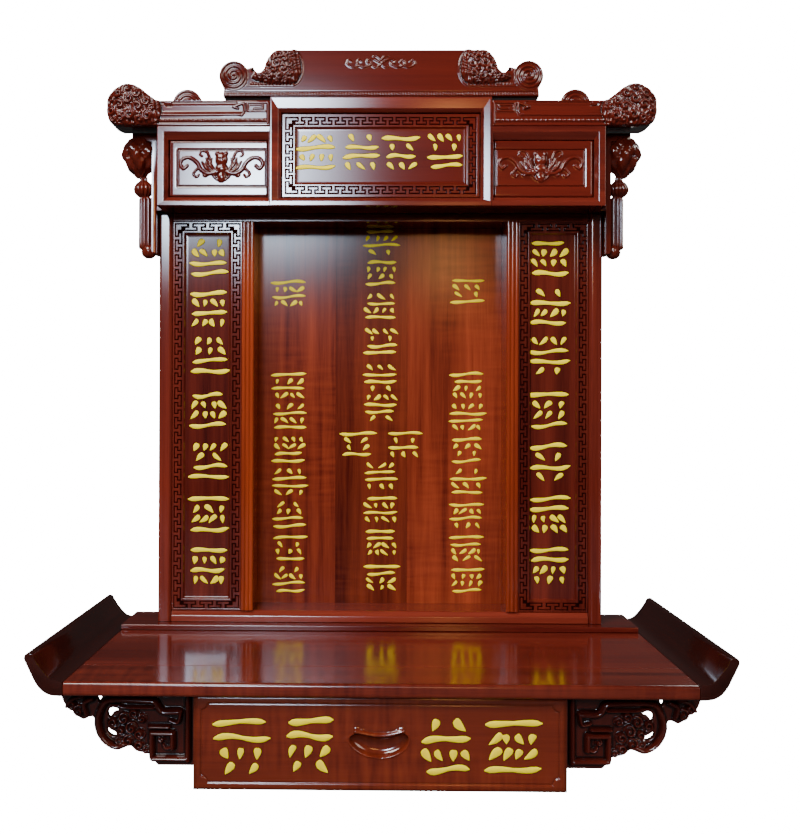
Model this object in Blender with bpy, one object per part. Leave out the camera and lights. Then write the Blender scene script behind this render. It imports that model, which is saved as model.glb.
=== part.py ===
"""Ancestor shrine niche: a wall altar shelf with a drawer, and on it a shallow cabinet with an open niche.

Metres, +Z up. The origin is at the middle of the underside of the drawer case, the front faces -Y,
and the wall is at the back, at +Y.
"""

import math

import bmesh
import bpy
from mathutils import Vector
from mathutils.geometry import delaunay_2d_cdt

# Clearances
GAP = 0.0003              # between pieces that are glued or rest on each other
SLIDE_GAP = 0.0012        # beside the drawer
RUN_GAP = 0.0005          # under the drawer

# Shelf
SHELF_LENGTH = 0.880      # over the upturned ends
SHELF_DEPTH = 0.435
SHELF_THICK = 0.018
FRONT_BOARD_DEPTH = 0.094
NOSE_RADIUS = 0.006
END_REACH = 0.0485        # from the foot of an upturned end to its outermost point
END_RISE = 0.0355
END_THICK = 0.0125
LEDGE_DEPTH = 0.111
LEDGE_HEIGHT = 0.0080

# Drawer case under the shelf
CASE_WIDTH = 0.464
CASE_HEIGHT = 0.1197
CASE_SIDE_THICK = 0.014
CASE_BOTTOM_THICK = 0.010
CASE_BACK_THICK = 0.010

# Drawer
DRAWER_FRONT_SETBACK = 0.0145
DRAWER_FRONT_THICK = 0.018
DRAWER_FRONT_LIFT = 0.0020
DRAWER_FRONT_HEIGHT = 0.117
DRAWER_BOX_DEPTH = 0.330
DRAWER_SIDE_HEIGHT = 0.090
DRAWER_SIDE_THICK = 0.012
DRAWER_BACK_THICK = 0.010
DRAWER_BOTTOM_THICK = 0.006
DRAWER_BOTTOM_LIFT = 0.002
FIELD_MARGIN_X = 0.0087
FIELD_MARGIN_Z = 0.0085
FIELD_NOTCH = 0.008
FIELD_SINK = 0.0015
PULL_WIDTH = 0.0738       # crescent pocket of the finger pull
PULL_HEIGHT = 0.0301
PULL_HEIGHT_UP = 0.042    # lowest point of the pocket above the drawer front's lower edge
PULL_DEPTH = 0.009
PULL_BAR = 0.0055         # width of the grip bar that hangs over the pocket
PULL_BAR_RELIEF = 0.0032

# Openwork brackets
BRACKET_LENGTH = 0.1775
BRACKET_HEIGHT = 0.1013
BRACKET_THICK = 0.018
BRACKET_SETBACK = 0.050
BRACKET_RELIEF = 0.004
BRACKET_GROUND = 0.006    # how far the ground behind the fret lies under the face
RIB_WIDTH = 0.008
RIB_END_WIDTH = 0.005

# Cabinet
CABINET_WIDTH = 0.681
CABINET_DEPTH = 0.087
CABINET_HEIGHT = 0.6284
CABINET_SIDE_THICK = 0.0205
CABINET_TOP_THICK = 0.012
BOTTOM_RAIL_THICK = 0.017
EDGE_BEVEL = 0.004
BACK_THICK = 0.0095
COUPLET_WIDTH = 0.1065
COUPLET_THICK = 0.012
COUPLET_SETBACK = 0.004
REED_WIDTH = 0.0185
REED_COUNT = 3
REED_RISE = 0.0022
PLANK_WIDTH = 0.1150      # middle plank of the back, between the two that show beside it
PLANK_SHIFT = -0.0130

# Key fret
RAIL_WIDTH = 0.0024
FRET_WIDTH = 0.0115
INNER_RAIL_WIDTH = 0.0030
FRET_SINK = 0.0016
FIELD_DEPTH = 0.0030
FRET_PITCH = 0.0225
KEY_LENGTH = 0.0120
KEY_WIDTH = 0.0030
KEY_INSET = 0.0022

# Frieze
FRIEZE_WIDTH = 0.664
FRIEZE_DEPTH = 0.1547
FRIEZE_HEIGHT = 0.1179
FRIEZE_BOARD = 0.010
FRAME_DEPTH = 0.018
FRAME_SIDE_FLAT = 0.008
FRAME_SIDE_BEVEL = 0.010
FRAME_TOP_FLAT = 0.0065
FRAME_TOP_BEVEL = 0.0135
FRAME_BOTTOM_FLAT = 0.0040
FRAME_BOTTOM_BEVEL = 0.0105
FRAME_INNER = 0.0050
FRAME_SINK = 0.008
FRIEZE_PANEL_THICK = 0.008
ENGRAVED_MARGIN_X = 0.0105
ENGRAVED_MARGIN_Z = 0.0150
ENGRAVED_WIDTH = 0.0014
ENGRAVED_DEPTH = 0.0010
BAT_SPAN = 0.122
BAT_RELIEF = 0.0025
WING_TIP_WIDTH = 0.0035
WING_WIDTH = 0.0062
CURL_WIDTH = 0.0045

# Name plaque in the middle of the frieze
PLAQUE_WIDTH = 0.3276
PLAQUE_HEIGHT = 0.1615
PLAQUE_DEPTH = 0.050
PLAQUE_RIM = 0.002
PLAQUE_SIDE_BEVEL = 0.0135
PLAQUE_TOP_BEVEL = 0.0200
PLAQUE_BOTTOM_BEVEL = 0.0120
PLAQUE_LIP = 0.0035
PLAQUE_SINK = 0.008
PLAQUE_PANEL_THICK = 0.010
PLAQUE_PITCH = 0.0203

# Crest boards
SIDE_CREST_HEIGHT = 0.0380
SIDE_CREST_DEPTH = 0.050
HEAD_LENGTH = 0.0740      # curled head past the side of the frieze
HEAD_HEIGHT = 0.0625
HALF_DISC_RADIUS = 0.0216
HALF_DISC_PLACE = 0.045   # from the side of the frieze
HALF_DISC_SINK = 0.0053   # middle of the disc under the top of the board
HEAD_BOSS = 0.0085
GROOVE_WIDTH = 0.0022
FRET_RIB = 0.0030
FRET_LENGTH = 0.034
CREST_RELIEF = 0.003
UPPER_CREST_LENGTH = 0.4796
UPPER_CREST_HEIGHT = 0.0689
UPPER_CREST_DEPTH = 0.045
CREST_DISC_RADIUS = 0.0217
CREST_LIP = 0.0063
CREST_LIP_OUT = 0.003
CREST_DISC_LIFT = 0.0090  # underside of a scroll disc over the underside of the board
CLUSTER_LENGTH = 0.090    # from the middle of a scroll disc to the flat top
CLUSTER_BOSS = 0.0085
CREST_HOLE_RADIUS = 0.0024
CREST_FIELD_LIFT = 0.0316
DENTIL_LIFT = 0.0175
DENTIL_HEIGHT = 0.0040

# Hanging pendants
PENDANT_FRONT = 0.1155    # from the wall
PENDANT_DEPTH = 0.044
PENDANT_HEIGHT = 0.1900
PENDANT_PLATE = 0.0075
BULB_RADIUS = 0.0245
BULB_HEIGHT = 0.0580
BALL_RADIUS = 0.0148
BALL_HEIGHT = 0.0250
COLUMN_RADIUS = 0.0090
COLUMN_HEIGHT = 0.0825
DROP_RADIUS = 0.0112
PENDANT_NECK = 0.0045     # between the bulb and the ball
NECK_RADIUS = 0.0060
PENDANT_CAP_HEIGHT = 0.010
PENDANT_CAP_LENGTH = 0.030
FLUTES = 6
FLUTE_DEPTH = 0.0016

# Levels and planes that follow from the sizes above
Y_FRONT = -SHELF_DEPTH / 2
Y_WALL = SHELF_DEPTH / 2
Z_SHELF_UNDER = CASE_HEIGHT + GAP
Z_SHELF_TOP = Z_SHELF_UNDER + SHELF_THICK
Z_LEDGE = Z_SHELF_TOP + GAP
Z_CABINET = Z_LEDGE + LEDGE_HEIGHT + GAP
Z_CABINET_TOP = Z_CABINET + CABINET_HEIGHT
Z_FRIEZE = Z_CABINET_TOP + GAP
Z_FRIEZE_TOP = Z_FRIEZE + FRIEZE_HEIGHT
Z_SIDE_CREST = Z_FRIEZE_TOP + GAP
Z_UPPER_CREST = Z_FRIEZE + PLAQUE_HEIGHT + GAP
X_FOOT = SHELF_LENGTH / 2 - END_REACH
X_CASE = CASE_WIDTH / 2
X_CABINET = CABINET_WIDTH / 2
X_COUPLET = X_CABINET - CABINET_SIDE_THICK - GAP
X_REED = X_COUPLET - COUPLET_WIDTH - GAP
X_NICHE = X_REED - REED_WIDTH
X_FRIEZE = FRIEZE_WIDTH / 2
X_PLAQUE = PLAQUE_WIDTH / 2
Y_CASE = Y_FRONT + DRAWER_FRONT_SETBACK + DRAWER_FRONT_THICK + GAP
Y_CABINET = Y_WALL - CABINET_DEPTH
Y_BACK = Y_WALL - BACK_THICK
Y_FRIEZE = Y_WALL - FRIEZE_DEPTH
Y_SLOPE_FOOT = Y_FRIEZE + FRAME_SINK

MERGE = 0.00001
MICRO = 1000000
ROUND_STEPS = 4

WOODS = {
    "red_wood": ((0.155, 0.020, 0.010), 0.16),
    "dark_wood": ((0.075, 0.011, 0.007), 0.18),
    "amber_wood": ((0.235, 0.045, 0.014), 0.16),
}


def clear_scene():
    for old in list(bpy.data.objects):
        bpy.data.objects.remove(old, do_unlink=True)


def wood(name, tone):
    """One lacquered wood for a piece, of a named tone."""
    colour, roughness = WOODS[tone]
    made = bpy.data.materials.new(name + "_" + tone)
    made.use_nodes = True
    shader = made.node_tree.nodes["Principled BSDF"]
    shader.inputs["Base Color"].default_value = (*colour, 1.0)
    shader.inputs["Roughness"].default_value = roughness
    shader.inputs["Metallic"].default_value = 0.0
    made.diffuse_color = (*colour, 1.0)
    return made


def keep(name, mesh_data, tone, parent, smooth=False):
    """Puts a bmesh into the scene as one named piece."""
    mesh = bpy.data.meshes.new(name)
    mesh_data.to_mesh(mesh)
    mesh_data.free()
    if smooth:
        mesh.shade_smooth()
        mesh.set_sharp_from_angle(angle=math.radians(40))
    mesh.materials.append(wood(name, tone))
    piece = bpy.data.objects.new(name, mesh)
    bpy.context.scene.collection.objects.link(piece)
    piece.parent = parent
    return piece


def group(name):
    """An empty that carries the pieces of one group."""
    empty = bpy.data.objects.new(name, None)
    bpy.context.scene.collection.objects.link(empty)
    return empty


def board(name, low, high, tone, parent):
    """A plain board between two corners."""
    shape = bmesh.new()
    bmesh.ops.create_cube(shape, size=1.0)
    middle = (Vector(low) + Vector(high)) / 2
    size = Vector(high) - Vector(low)
    for vertex in shape.verts:
        vertex.co = Vector(a * b for a, b in zip(vertex.co, size)) + middle
    return keep(name, shape, tone, parent)


def prism(name, outline, axis, low, high, tone, parent, smooth=False):
    """An outline of two coordinates carried along the third axis from low to high."""
    places = {
        "x": lambda p, s: (s, p[0], p[1]),
        "y": lambda p, s: (p[0], s, p[1]),
        "z": lambda p, s: (p[0], p[1], s),
    }[axis]
    shape = bmesh.new()
    start = [shape.verts.new(places(p, low)) for p in outline]
    end = [shape.verts.new(places(p, high)) for p in outline]
    shape.faces.new(start)
    shape.faces.new(end)
    for k, vertex in enumerate(start):
        shape.faces.new((vertex, start[k - 1], end[k - 1], end[k]))
    bmesh.ops.recalc_face_normals(shape, faces=shape.faces)
    return keep(name, shape, tone, parent, smooth)


def rectangle(x_low, x_high, z_low, z_high):
    return [(x_low, z_low), (x_high, z_low), (x_high, z_high), (x_low, z_high)]


def mitred_frame(name, loops, tone, parent):
    """A frame made of four-cornered loops, each a rectangle and its depth y, joined in order and closed."""
    shape = bmesh.new()
    rings = [[shape.verts.new((x, y, z)) for x, z in corners] for corners, y in loops]
    for k, ring in enumerate(rings):
        previous = rings[k - 1]
        for c in range(4):
            shape.faces.new((previous[c - 1], previous[c], ring[c], ring[c - 1]))
    bmesh.ops.recalc_face_normals(shape, faces=shape.faces)
    return keep(name, shape, tone, parent)


def mirrored(points, side):
    """The same outline on the left (-1) or the right (+1), kept in one turning sense."""
    if side > 0:
        return list(points)
    return [(-x, z) for x, z in reversed(points)]


def circle(centre, radius, steps, stretch=1.0):
    turn = 2 * math.pi / steps
    return [
        (centre[0] + radius * math.cos(k * turn), centre[1] + stretch * radius * math.sin(k * turn))
        for k in range(steps)
    ]


def arc(centre, radius, start, end, steps):
    """Points on an arc between two angles in degrees."""
    angles = [math.radians(start + (end - start) * k / steps) for k in range(steps + 1)]
    return [(centre[0] + radius * math.cos(a), centre[1] + radius * math.sin(a)) for a in angles]


def smooth_curve(points, steps, closed=False):
    """A Catmull-Rom curve through the points, with the given steps on each stretch."""
    count = len(points)
    curve = []
    for k in range(count if closed else count - 1):
        if closed:
            a, b, c, d = (points[(k + n) % count] for n in (-1, 0, 1, 2))
        else:
            a, b, c, d = (points[min(max(k + n, 0), count - 1)] for n in (-1, 0, 1, 2))
        for s in range(steps):
            t = s / steps
            curve.append(tuple(
                0.5 * (2 * q + (r - p) * t + (2 * p - 5 * q + 4 * r - w) * t * t
                       + (3 * q - p - 3 * r + w) * t ** 3)
                for p, q, r, w in zip(a, b, c, d)
            ))
    if not closed:
        curve.append(tuple(points[-1]))
    return curve


def ribbon(path, width, end_width):
    """The outline of a band along a path, whose width runs evenly from width to end_width."""
    left, right = [], []
    last = len(path) - 1
    for k, (x, z) in enumerate(path):
        before, after = path[max(k - 1, 0)], path[min(k + 1, last)]
        along = Vector((after[0] - before[0], after[1] - before[1])).normalized()
        half = (width + (end_width - width) * k / last) / 2
        left.append((x - along.y * half, z + along.x * half))
        right.append((x + along.y * half, z - along.x * half))
    return left + right[::-1]


def inside(x, z, loop):
    """Whether a point is inside an outline, by counting the sides it crosses."""
    crossed = False
    for k, (x_b, z_b) in enumerate(loop):
        x_a, z_a = loop[k - 1]
        if (z_a > z) != (z_b > z) and x < (x_b - x_a) * (z - z_a) / (z_b - z_a) + x_a:
            crossed = not crossed
    return crossed


def cut_into_triangles(points, sides):
    """Triangles between all the given sides, turning left, with the places of their corners."""
    flat, _, faces, origins, _, _ = delaunay_2d_cdt(points, sides, [], 0, MERGE)
    turned = []
    for a, b, c in faces:
        doubled = (flat[b] - flat[a]).cross(flat[c] - flat[a])
        turned.append((a, b, c) if doubled > 0 else (a, c, b))
    return flat, turned, origins


def carved_board(name, outline, layers, face_y, back_y, tone, parent, holes=()):
    """A board facing -Y whose front is carved in flat steps.

    A layer is an outline and how far it stands out of the face; the last layer over a place counts.
    A hole goes right through.
    """
    points, sides = [], []
    for loop in [outline, *holes, *(layer[0] for layer in layers)]:
        first = len(points)
        points += [Vector(p) for p in loop]
        sides += [(first + k, first + (k + 1) % len(loop)) for k in range(len(loop))]
    flat, faces, _ = cut_into_triangles(points, sides)

    def level(face):
        x = sum(flat[k].x for k in face) / 3
        z = sum(flat[k].y for k in face) / 3
        if not inside(x, z, outline) or any(inside(x, z, hole) for hole in holes):
            return None
        stands_out = 0.0
        for loop, height in layers:
            if inside(x, z, loop):
                stands_out = height
        return round((face_y - stands_out) * MICRO)

    kept = [(face, level(face)) for face in faces]
    kept = [(face, y) for face, y in kept if y is not None]
    back = round(back_y * MICRO)
    shape = bmesh.new()
    made, levels, beside = {}, {}, {}

    def corner(k, y):
        if (k, y) not in made:
            made[k, y] = shape.verts.new((flat[k].x, y / MICRO, flat[k].y))
        return made[k, y]

    for face, y in kept:
        shape.faces.new([corner(k, y) for k in face])
        for n, k in enumerate(face):
            levels.setdefault(k, set()).add(y)
            beside[face[n - 1], k] = y
    border = [(a, b) for a, b in beside if (b, a) not in beside]
    for (a, b), y in beside.items():
        other = beside.get((b, a), back)
        if other <= y:
            continue
        chains = [[corner(k, h) for h in sorted({y, other} | {h for h in levels[k] if y < h < other},
                                                reverse=True)] for k in (a, b)]
        left, right = chains
        i = j = 0
        while i < len(left) - 1 or j < len(right) - 1:
            if j < len(right) - 1 and (i == len(left) - 1 or right[j + 1].co.y >= left[i + 1].co.y):
                shape.faces.new((left[i], right[j], right[j + 1]))
                j += 1
            else:
                shape.faces.new((left[i], right[j], left[i + 1]))
                i += 1
    rim = sorted({k for side in border for k in side})
    order = {k: n for n, k in enumerate(rim)}
    flat_rim, back_faces, origins = cut_into_triangles(
        [flat[k] for k in rim], [(order[a], order[b]) for a, b in border])
    for face in back_faces:
        x = sum(flat_rim[k].x for k in face) / 3
        z = sum(flat_rim[k].y for k in face) / 3
        if inside(x, z, outline) and not any(inside(x, z, hole) for hole in holes):
            shape.faces.new([corner(rim[origins[k][0]], back) for k in reversed(face)])
    return keep(name, shape, tone, parent)


def joined(base, tools):
    """Makes closed shapes part of a piece; the tools stay as hidden guides."""
    for tool in tools:
        tool.hide_render = True
        tool.display_type = "WIRE"
        union = base.modifiers.new("join_" + tool.name, "BOOLEAN")
        union.operation = "UNION"
        union.solver = "EXACT"
        union.object = tool


def turned_shape(name, profile, centre, steps, tone, parent, flute_depth=0.0):
    """A shape turned about a vertical line, by radius, height and whether it is fluted, from the top."""
    shape = bmesh.new()
    rings = []
    for radius, z, fluted in profile:
        ring = []
        for k in range(steps):
            angle = 2 * math.pi * (k + 0.5) / steps
            reach = radius
            if fluted and k % 2:
                reach -= flute_depth
            ring.append(shape.verts.new((centre[0] + reach * math.cos(angle),
                                         centre[1] + reach * math.sin(angle), z)))
        rings.append(ring)
    shape.faces.new(rings[0])
    shape.faces.new(rings[-1])
    for upper, lower in zip(rings, rings[1:]):
        for k in range(steps):
            shape.faces.new((upper[k - 1], upper[k], lower[k], lower[k - 1]))
    bmesh.ops.recalc_face_normals(shape, faces=shape.faces)
    return keep(name, shape, tone, parent)


def make_shelf(parent):
    """Two glued boards with a rounded nose, two upturned ends and the low ledge at the back."""
    y_seam = Y_FRONT + FRONT_BOARD_DEPTH
    nose = [
        *arc((Y_FRONT + NOSE_RADIUS, Z_SHELF_UNDER + NOSE_RADIUS), NOSE_RADIUS, 270, 180, ROUND_STEPS),
        *arc((Y_FRONT + NOSE_RADIUS, Z_SHELF_TOP - NOSE_RADIUS), NOSE_RADIUS, 180, 90, ROUND_STEPS),
        (y_seam - GAP, Z_SHELF_TOP),
        (y_seam - GAP, Z_SHELF_UNDER),
    ]
    x_board = X_FOOT - GAP
    prism("shelf_front_board", nose, "x", -x_board, x_board, "red_wood", parent)
    board("shelf_back_board", (-x_board, y_seam, Z_SHELF_UNDER), (x_board, Y_WALL, Z_SHELF_TOP),
          "red_wood", parent)
    for side, word in ((-1, "left"), (1, "right")):
        outline = mirrored(shelf_end_outline(), side)
        prism("shelf_end_" + word, outline, "y", Y_FRONT, Y_WALL, "dark_wood", parent)
    board("back_ledge", (-x_board, Y_WALL - LEDGE_DEPTH, Z_LEDGE),
          (x_board, Y_WALL, Z_LEDGE + LEDGE_HEIGHT), "red_wood", parent)


def shelf_end_outline():
    """The ogee of an upturned end: up from the foot on the inside, round the top, back down outside."""
    x_out = SHELF_LENGTH / 2
    z_top = Z_SHELF_TOP + END_RISE
    cap = END_THICK / 2
    inner = smooth_curve([
        (X_FOOT, Z_SHELF_TOP),
        (X_FOOT + 0.30 * END_REACH, Z_SHELF_TOP + 0.10 * END_RISE),
        (X_FOOT + 0.56 * END_REACH, Z_SHELF_TOP + 0.46 * END_RISE),
        (X_FOOT + 0.74 * END_REACH, Z_SHELF_TOP + 0.82 * END_RISE),
    ], ROUND_STEPS)
    top = arc((x_out - cap, z_top - cap), cap, 130, -20, 6)
    outer = smooth_curve([
        (x_out - 0.10 * END_REACH, z_top - 0.50 * END_RISE),
        (x_out - 0.34 * END_REACH, Z_SHELF_UNDER + 0.75 * SHELF_THICK),
        (x_out - 0.62 * END_REACH, Z_SHELF_UNDER + 0.12 * SHELF_THICK),
        (X_FOOT, Z_SHELF_UNDER),
    ], ROUND_STEPS)
    return inner + top + outer


def make_case(parent):
    """The open-fronted case that the drawer runs in."""
    x_in = X_CASE - CASE_SIDE_THICK
    for side, word in ((-1, "left"), (1, "right")):
        near, far = sorted((side * x_in, side * X_CASE))
        board("case_side_" + word, (near, Y_CASE, 0), (far, Y_WALL, CASE_HEIGHT), "red_wood", parent)
    x_between = x_in - GAP
    y_back = Y_WALL - CASE_BACK_THICK
    board("case_bottom", (-x_between, Y_CASE, 0), (x_between, y_back - GAP, CASE_BOTTOM_THICK),
          "red_wood", parent)
    board("case_back", (-x_between, y_back, 0), (x_between, Y_WALL, CASE_HEIGHT), "red_wood", parent)


def notched(x_low, x_high, z_low, z_high, notch):
    """A rectangle whose corners are cut in by small quarter rounds."""
    outline = []
    corners = (((x_low, z_low), 90), ((x_high, z_low), 180), ((x_high, z_high), 270), ((x_low, z_high), 360))
    for centre, start in corners:
        outline += arc(centre, notch, start, start - 90, ROUND_STEPS)
    return outline


def make_drawer(parent):
    """A drawer with an overlaid front; its front has a sunk field and a carved finger pull."""
    x_front = X_CASE
    y_face = Y_FRONT + DRAWER_FRONT_SETBACK
    z_low = DRAWER_FRONT_LIFT
    z_high = z_low + DRAWER_FRONT_HEIGHT
    field = notched(-x_front + FIELD_MARGIN_X, x_front - FIELD_MARGIN_X,
                    z_low + FIELD_MARGIN_Z, z_high - FIELD_MARGIN_Z, FIELD_NOTCH)

    def in_pull(points):
        return [(u * PULL_WIDTH / 2, z_low + PULL_HEIGHT_UP + v * PULL_HEIGHT) for u, v in points]

    pocket = smooth_curve(in_pull([
        (-0.75, 0.985), (-0.37, 0.87), (0, 0.83), (0.37, 0.87), (0.75, 0.985), (1.0, 0.755), (0.83, 0.35),
        (0.46, 0.09), (0, 0), (-0.46, 0.09), (-0.83, 0.35), (-1.0, 0.755)]), 2, closed=True)
    grip = smooth_curve(in_pull([
        (-0.79, 1.05), (-0.395, 0.953), (0, 0.904), (0.395, 0.953), (0.79, 1.05)]), 2)
    grip_bar = ribbon(grip, PULL_BAR, PULL_BAR)
    carved_board("drawer_front", rectangle(-x_front, x_front, z_low, z_high),
                 [(field, -FIELD_SINK), (pocket, -PULL_DEPTH), (grip_bar, PULL_BAR_RELIEF)],
                 y_face, y_face + DRAWER_FRONT_THICK, "red_wood", parent)
    y_box = Y_CASE
    y_end = y_box + DRAWER_BOX_DEPTH
    x_side = X_CASE - CASE_SIDE_THICK - SLIDE_GAP
    x_in = x_side - DRAWER_SIDE_THICK
    z_side = CASE_BOTTOM_THICK + RUN_GAP
    for side, word in ((-1, "left"), (1, "right")):
        near, far = sorted((side * x_in, side * x_side))
        board("drawer_side_" + word, (near, y_box, z_side), (far, y_end, z_side + DRAWER_SIDE_HEIGHT),
              "dark_wood", parent)
    x_between = x_in - GAP
    z_bottom = z_side + DRAWER_BOTTOM_LIFT
    board("drawer_back", (-x_between, y_end - DRAWER_BACK_THICK, z_side),
          (x_between, y_end, z_side + DRAWER_SIDE_HEIGHT), "dark_wood", parent)
    board("drawer_bottom", (-x_between, y_box, z_bottom),
          (x_between, y_end - DRAWER_BACK_THICK - GAP, z_bottom + DRAWER_BOTTOM_THICK),
          "dark_wood", parent)


def make_brackets(parent):
    """Openwork brackets of clouds, a leaf and a square fret, beside the case and under the shelf."""
    y_face = Y_FRONT + BRACKET_SETBACK
    x_in = X_CASE + GAP
    z_top = Z_SHELF_UNDER - GAP

    def place(points):
        return [(x_in + u * BRACKET_LENGTH, z_top - v * BRACKET_HEIGHT) for u, v in points]

    outline = [
        *place([(0, 0), (1.0, 0)]),
        *smooth_curve(place([
            (1.0, 0.10), (0.975, 0.22), (0.93, 0.31), (0.895, 0.335), (0.865, 0.40), (0.829, 0.428),
            (0.785, 0.395), (0.757, 0.41), (0.755, 0.50), (0.735, 0.62), (0.69, 0.73), (0.63, 0.79),
            (0.564, 0.80), (0.515, 0.77), (0.485, 0.765), (0.45, 0.82), (0.403, 0.843), (0.36, 0.86),
            (0.33, 0.93)]), 2),
        *place([(0.29, 1.0), (0, 1.0)]),
    ]
    holes = [
        place([(0.68, 0.05), (0.76, 0.05), (0.715, 0.20)]),
        smooth_curve(place([(0.576, 0.31), (0.605, 0.277), (0.64, 0.29), (0.653, 0.34), (0.64, 0.389),
                            (0.615, 0.335)]), 2, closed=True),
        smooth_curve(place([(0.656, 0.53), (0.652, 0.585), (0.615, 0.63), (0.576, 0.62), (0.60, 0.585),
                            (0.63, 0.56)]), 2, closed=True),
    ]
    grounds = [
        place([(0.035, 0.08), (0.24, 0.08), (0.24, 0.24), (0.20, 0.27), (0.11, 0.27), (0.11, 0.42),
               (0.035, 0.42)]),
        place([(0.11, 0.36), (0.36, 0.36), (0.40, 0.47), (0.345, 0.80), (0.29, 0.95), (0.045, 0.95),
               (0.045, 0.50), (0.11, 0.50)]),
    ]
    ribs = [
        smooth_curve(place([(0.138, 0.307), (0.246, 0.307), (0.285, 0.25), (0.305, 0.19), (0.36, 0.170),
                            (0.62, 0.165), (0.69, 0.26), (0.717, 0.42), (0.70, 0.58), (0.65, 0.70),
                            (0.58, 0.745), (0.53, 0.70)]), 2),
        place([(0.18, 0.76), (0.18, 0.58), (0.33, 0.58), (0.33, 0.88), (0.09, 0.88)]),
        place([(0.207, 0.50), (0.335, 0.50)]),
    ]
    bosses = [(0.93, 0.20, 0.53), (0.85, 0.28, 0.7), (0.53, 0.42, 0.9), (0.61, 0.46, 0.8),
              (0.46, 0.36, 0.8), (0.47, 0.56, 0.9), (0.54, 0.60, 0.7), (0.42, 0.72, 0.7)]
    for side, word in ((-1, "left"), (1, "right")):
        layers = [(mirrored(ground, side), -BRACKET_GROUND) for ground in grounds]
        layers += [(mirrored(ribbon(path, RIB_WIDTH, RIB_END_WIDTH), side), BRACKET_RELIEF) for path in ribs]
        for u, v, share in bosses:
            boss = circle(place([(u, v)])[0], share * RIB_WIDTH, 8)
            layers.append((mirrored(boss, side), BRACKET_RELIEF * 1.5))
        carved_board("bracket_" + word, mirrored(outline, side), layers, y_face,
                     y_face + BRACKET_THICK - BRACKET_RELIEF, "dark_wood", parent,
                     [mirrored(hole, side) for hole in holes])


def key_fret(x_low, x_high, z_low, z_high, pitch):
    """Keys of a square fret round a rectangle, in two rows that alternate, as short raised bars."""
    keys = []
    spans = ((x_low, x_high, z_low, z_high, False), (z_low, z_high, x_low, x_high, True))
    for start, end, near, far, upright in spans:
        count = max(1, round((end - start - 2 * FRET_WIDTH) / pitch))
        step = (end - start - 2 * FRET_WIDTH) / count
        for k in range(count):
            along = start + FRET_WIDTH + (k + 0.5) * step
            for row in (near + KEY_INSET, far - KEY_INSET - KEY_WIDTH):
                low, high = along - KEY_LENGTH / 2, along + KEY_LENGTH / 2
                if upright:
                    keys.append(rectangle(row, row + KEY_WIDTH, low, high))
                else:
                    keys.append(rectangle(low, high, row, row + KEY_WIDTH))
    return keys


def fretted_panel(name, x_low, x_high, z_low, z_high, face_y, thick, pitch, parent):
    """A panel with a square fret between two rails round a sunk field."""
    def inset(distance):
        return (x_low + distance, x_high - distance, z_low + distance, z_high - distance)

    fret_in = RAIL_WIDTH + FRET_WIDTH
    layers = [
        (rectangle(*inset(RAIL_WIDTH)), -FRET_SINK),
        (rectangle(*inset(fret_in)), 0.0),
        (rectangle(*inset(fret_in + INNER_RAIL_WIDTH)), -FIELD_DEPTH),
    ]
    layers += [(key, 0.0) for key in key_fret(*inset(RAIL_WIDTH), pitch)]
    carved_board(name, rectangle(x_low, x_high, z_low, z_high), layers, face_y, face_y + thick,
                 "red_wood", parent)


def make_cabinet(parent):
    """The shallow cabinet: sides, top, bottom rail, two couplet panels, two reeded uprights, back planks."""
    z_floor = Z_CABINET + BOTTOM_RAIL_THICK
    z_under_top = Z_CABINET_TOP - CABINET_TOP_THICK
    for side, word in ((-1, "left"), (1, "right")):
        inner = X_CABINET - CABINET_SIDE_THICK
        outline = [
            (inner, Y_CABINET + EDGE_BEVEL), (inner + EDGE_BEVEL, Y_CABINET),
            (X_CABINET - EDGE_BEVEL / 2, Y_CABINET), (X_CABINET, Y_CABINET + EDGE_BEVEL / 2),
            (X_CABINET, Y_WALL), (inner, Y_WALL),
        ]
        prism("cabinet_side_" + word, mirrored(outline, side), "z", Z_CABINET, Z_CABINET_TOP,
              "red_wood", parent)
    x_between = X_COUPLET
    board("cabinet_top", (-x_between, Y_CABINET + EDGE_BEVEL, z_under_top),
          (x_between, Y_BACK - GAP, Z_CABINET_TOP), "red_wood", parent)
    rail = [
        (Y_CABINET, Z_CABINET), (Y_BACK - GAP, Z_CABINET), (Y_BACK - GAP, z_floor),
        (Y_CABINET + EDGE_BEVEL, z_floor), (Y_CABINET, z_floor - EDGE_BEVEL),
    ]
    prism("bottom_rail", rail, "x", -x_between, x_between, "red_wood", parent)
    z_low, z_high = z_floor + GAP, z_under_top - GAP
    y_panel = Y_CABINET + COUPLET_SETBACK
    for side, word in ((-1, "left"), (1, "right")):
        low, high = sorted((side * (X_COUPLET - COUPLET_WIDTH), side * X_COUPLET))
        fretted_panel("couplet_panel_" + word, low, high, z_low, z_high, y_panel, COUPLET_THICK,
                      FRET_PITCH, parent)
        prism("reeded_upright_" + word, mirrored(reed_outline(), side), "z", z_low, z_high,
              "amber_wood", parent)
    seams = [-x_between, -X_NICHE, PLANK_SHIFT - PLANK_WIDTH / 2, PLANK_SHIFT + PLANK_WIDTH / 2,
             X_NICHE, x_between]
    words = ("far_left", "left", "middle", "right", "far_right")
    for word, low, high in zip(words, seams, seams[1:]):
        board("back_plank_" + word, (low + GAP / 2, Y_BACK, Z_CABINET),
              (high - GAP / 2, Y_WALL, Z_CABINET_TOP), "amber_wood", parent)


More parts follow.
